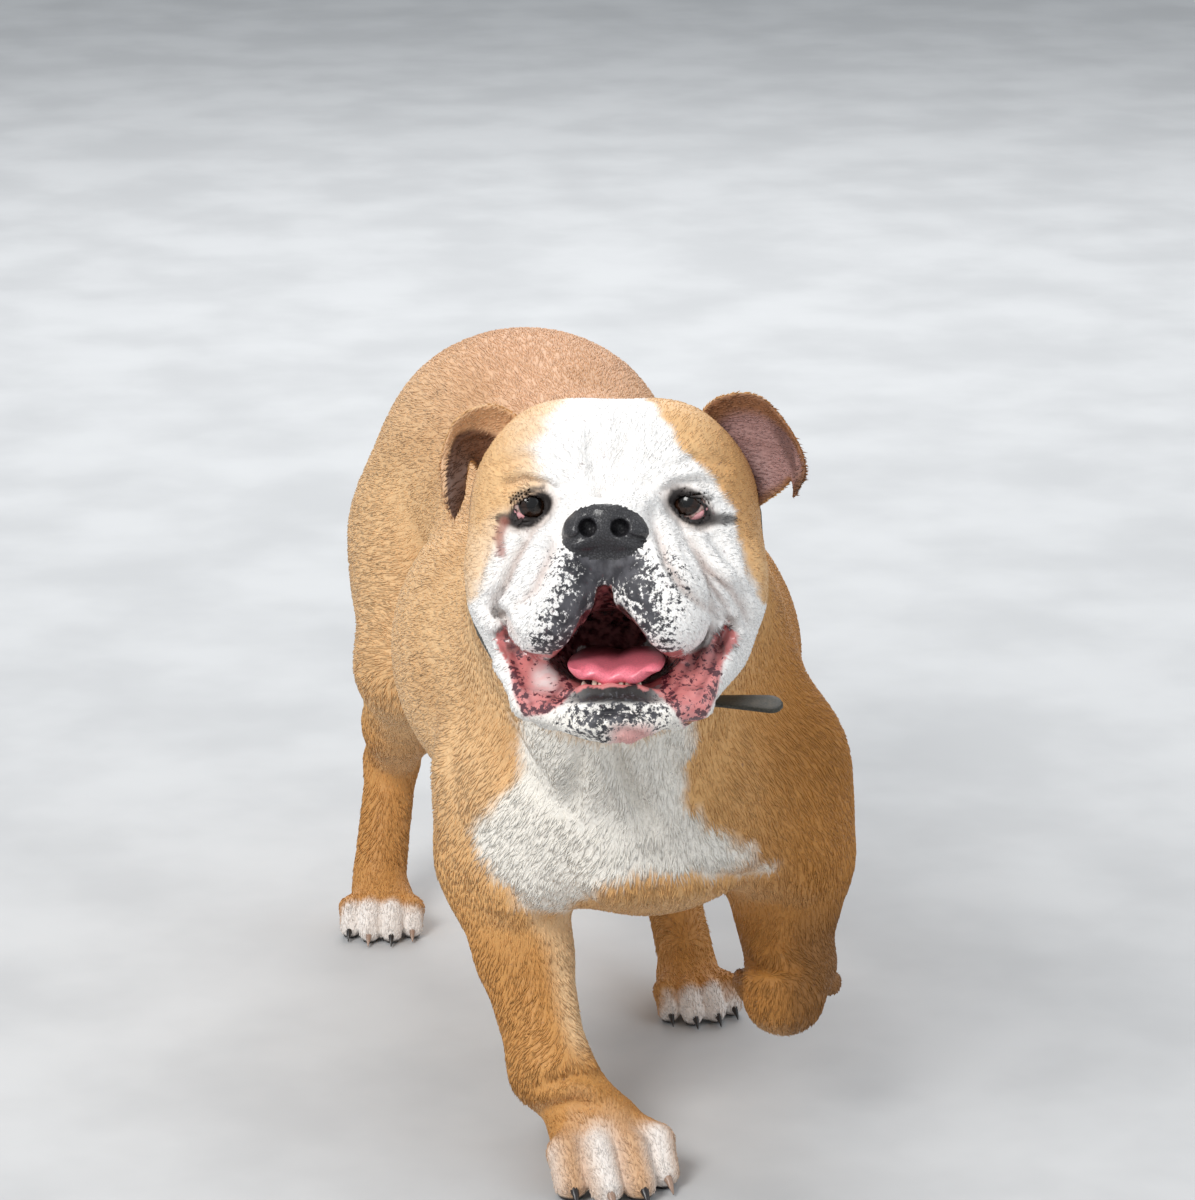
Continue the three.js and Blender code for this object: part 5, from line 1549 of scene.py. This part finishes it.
# Painted shade: the lining goes from pink to dark red, and near black, deeper into the mouth
pink_to_dark = central * np.clip(soft(-44, -14, inward) + soft(-92, -72, mouth_v), 0, 1)
mouth_tint = painted(plain(LIP_PINK, tint), THROAT_RED_AND_SHADE, pink_to_dark)
mouth_tint = painted(mouth_tint, THROAT_SHADOW, central * soft(-90, -66, mouth_v) * 0.95)
bare_lip, _ = lower_lips(head_points)
within = (inward < 44) & (np.abs(mouth_u) < 75) & (mouth_v > -125) & (mouth_v < -46)
in_mouth = within & ((mouth_distance < 2.4) | ((inward > -48) & (mouth_distance < 7) & (central > 0.5)))
tint = np.where((in_mouth & (bare_lip < 0.5))[:, None], mouth_tint, tint)
in_mouth |= bare_lip > 0.6
in_nose = (((head_points - [NOSE[0], -49, -16]) / [26, 17, 16.5]) ** 2).sum(1) < 1
face_mouth = in_mouth[skin_quads].sum(1) >= 3
face_nose = (in_nose[skin_quads].sum(1) >= 3) & ~face_mouth
FLESH_PARTS = ("torso", "neck", "tail", "fore_", "hind_", "head", "lower_jaw")
FLESH_NODES = [n for n in frame["nodes"] if n.startswith(FLESH_PARTS)]
for name, chosen, material, slot, nodes in (
    ("skin", ~(face_mouth | face_nose), fur_skin(), "fawn_coat", FLESH_NODES),
    ("mouth_lining", face_mouth, wet_lining(), "tongue", []),
    ("nose_leather", face_nose, nose_leather(), "nose_leather", ["nose"]),
):
    used, quads = np.unique(skin_quads[chosen], return_inverse=True)
    surface = skin_points[used], quads.reshape(-1, 4)
    make_piece(name, surface, material, slot, *nodes, tint=tint[used], marks=marks[used])

# Ears, eyes, mouth, claws and collar
EAR_SKIN = tinted("ear_skin", 0.6, 0, (700, 4), (0.35, 0.0005))
EYE_GLOSS = tinted("eye_gloss", 0.16, 0, (900, 4), (0.05, 0.0001))
HAW_FLESH = tinted("haw_flesh", 0.22, 0.6, (400, 4), (0.2, 0.0003))
TONGUE_FLESH = tinted("tongue_flesh", 0.32, 0.4, (900, 4), (0.4, 0.0006))
TOOTH = tinted("tooth", 0.25, 0.5, (500, 4), (0.1, 0.0002))
CLAW_HORN = tinted("claw_horn", 0.35, 0.2, (800, 4), (0.25, 0.0003))
HAIR = tinted("coat_hair", 0.6, 0, (1400, 2, (1, 0.3, 0.6)), (0.3, 0.0003), (0.93, 1.05))
STRAP = strap_leather()

ears = {}
for side in SIDES:
    *surface, outer, across, along_it = ear(side)
    colours = ear_tint(side, outer, across, along_it)
    ears[side] = (*surface, outer, colours)
    make_piece(f"ear_skin_{side}", surface, EAR_SKIN, "ear_coat", f"ear_{side}", tint=colours)
for side in SIDES:
    *surface, off, round_it = eye(side)
    make_piece(f"eyeball_{side}", surface, EYE_GLOSS, "eye", f"eye_{side}", tint=eye_tint(off, round_it))
    surface = haw(side)
    make_piece(f"haw_{side}", surface, HAW_FLESH, "tongue", tint=plain(seen(228, 164, 168), surface[0]))

surface = tongue()
# Painted shade: the tongue darker toward the back of the mouth
back_of_mouth = soft(-30, 10, to_head(surface[0])[:, 1]) * 0.8
colours = painted(plain(seen(240, 124, 140), surface[0]), THROAT_RED_AND_SHADE, back_of_mouth)
make_piece("tongue_flesh", surface, TONGUE_FLESH, "tongue", "tongue", tint=colours)
surface = teeth()
make_piece("teeth", surface, TOOTH, "white_coat", tint=plain(seen(232, 220, 198), surface[0]))
*surface, colours = claws()
make_piece("claws", surface, CLAW_HORN, "nose_leather", tint=colours)
make_piece("collar_strap", collar_band(), STRAP, "collar_strap", "collar_band")
make_piece("collar_tip", collar_tip(), STRAP, "collar_strap", "collar_end")

# The coat in pieces: tufts on a square millimetre, and their length, width and rise
BODY_HAIR = (0.125, 9.0, 1.5, 0.55)
LEG_HAIR = (0.16, 7, 1.3, 0.5)
FOOT_HAIR = (0.3, 3.8, 0.9, 0.35)
HEAD_HAIR = (0.2, 3.8, 0.8, 0.3)
EAR_HAIR = (3.6, 0.9, 0.45)
EAR_DENSITY, EAR_INSIDE_DENSITY = 0.8, 0.25
ALONG_BODY = (0, 1, 0)
ALONG_HEAD = HEAD.to_3x3() @ Vector((0, 1, 0))

centre = skin_points[skin_quads].mean(1)
h = to_head(centre)
is_head = (h[:, 1] < 84) & (from_skull(h) < 135)
feet = np.zeros(len(centre), bool)
for p in PAWS.values():
    feet |= np.linalg.norm(placed(p.inverted(), centre) - [0, -6, 12], axis=1) < 56
on_legs = (centre[:, 2] < 170) & ~feet & ~is_head
body = ~(is_head | feet | on_legs)

face_marks = marks[skin_quads].mean(1)
bare = face_mouth | face_nose | (face_marks[:, 0] > 0.3) | (face_marks[:, 2] > 0.3) | (centre[:, 2] < 4)
for s in SIDES.values():
    bare |= (eye_near(h, s) < 2.2) & (h[:, 1] < 15)

hair = np.tile(BODY_HAIR, (len(centre), 1))
for chosen, style in ((on_legs, LEG_HAIR), (feet, FOOT_HAIR), (is_head, HEAD_HAIR)):
    hair[chosen] = style
muzzle = bell(np.hypot(h[:, 0] - 1, h[:, 2] + 40), 38) * soft(10, -10, h[:, 1]) * is_head
hair[:, 0] *= 1 - 0.5 * muzzle
hair[:, 1] *= 1 - 0.45 * muzzle
hair[bare, 0] = 0

REGIONS = [
    ("coat_head_left", is_head & (h[:, 0] >= 0), ALONG_HEAD),
    ("coat_head_right", is_head & (h[:, 0] < 0), ALONG_HEAD),
    ("coat_feet", feet, ALONG_BODY),
    ("coat_legs", on_legs, ALONG_BODY),
]
cuts = np.quantile(centre[body, 1], [0.31, 0.52, 0.75])
for n, (start, end) in enumerate(zip([-FAR, *cuts], [*cuts, FAR])):
    stretch = body & (centre[:, 1] >= start) & (centre[:, 1] < end)
    REGIONS.append((f"coat_body_{n + 1}", stretch, ALONG_BODY))
surface = skin_points, skin_normals, tint
for name, chosen, axis in REGIONS:
    index = np.flatnonzero(chosen & (hair[:, 0] > 0))
    grow(name, surface, skin_quads[index], hair[index, 0], hair[index, 1:], lie_of, axis, "fawn_coat")

for side, (points, quads, outer, colours) in ears.items():
    density = np.where(outer[quads].mean(1) > 0.5, EAR_DENSITY, EAR_INSIDE_DENSITY)
    sizes = np.tile(EAR_HAIR, (len(quads), 1))
    surface = points, normals_of(points, quads), colours
    grow(f"coat_ear_{side}", surface, quads, density, sizes, lie_on_ear(side), ALONG_BODY, "ear_coat")


# Camera, floor and light
lens = bpy.data.cameras.new("camera")
lens.lens = 135.32
lens.sensor_width = 36
camera = bpy.data.objects.new("camera", lens)
bpy.context.collection.objects.link(camera)
camera.location = to_row(CAMERA_AT)
camera.rotation_euler = (math.radians(90 - CAMERA_DROP), 0, math.radians(-CAMERA_TURN))
bpy.context.scene.camera = camera


def studio_floor(size=12):
    mesh = bpy.data.meshes.new("floor")
    corners = [(-size, -size, 0), (size, -size, 0), (size, size, 0), (-size, size, 0)]
    mesh.from_pydata(corners, [], [(0, 1, 2, 3)])
    material, tree, shader = new_material("pale_floor", 0.8)
    cloud = ranged(tree, noise(tree, 6, 4), 0.3, 0.7)
    colour = mixed(tree, cloud, (0.50, 0.507, 0.515), (0.58, 0.587, 0.594))
    tree.links.new(colour, shader.inputs["Base Color"])
    mesh.materials.append(material)
    floor = bpy.data.objects.new("floor", mesh)
    bpy.context.collection.objects.link(floor)


def lamp(name, at, aim, size, power, colour=(1, 1, 1)):
    light = bpy.data.lights.new(name, "AREA")
    light.energy, light.size, light.color = power, size, colour
    thing = bpy.data.objects.new(name, light)
    bpy.context.collection.objects.link(thing)
    thing.location = at
    thing.rotation_euler = (Vector(aim) - Vector(at)).to_track_quat("-Z", "Y").to_euler()


studio_floor()
lamp("key", (-1.8, -2.0, 2.7), (0, -0.1, 0.25), 1.3, 82, (1.0, 0.985, 0.96))
lamp("fill", (2.4, -1.8, 1.6), (0, 0, 0.25), 2.2, 12, (0.95, 0.98, 1.0))
lamp("back", (0.4, 2.6, 2.4), (0, 0, 0.3), 2.0, 62)
world = bpy.data.worlds.new("studio")
world.use_nodes = True
background = world.node_tree.nodes["Background"]
background.inputs["Color"].default_value = (0.86, 0.90, 0.94, 1)
background.inputs["Strength"].default_value = 0.66
bpy.context.scene.world = world
bpy.context.scene.view_settings.view_transform = "Standard"
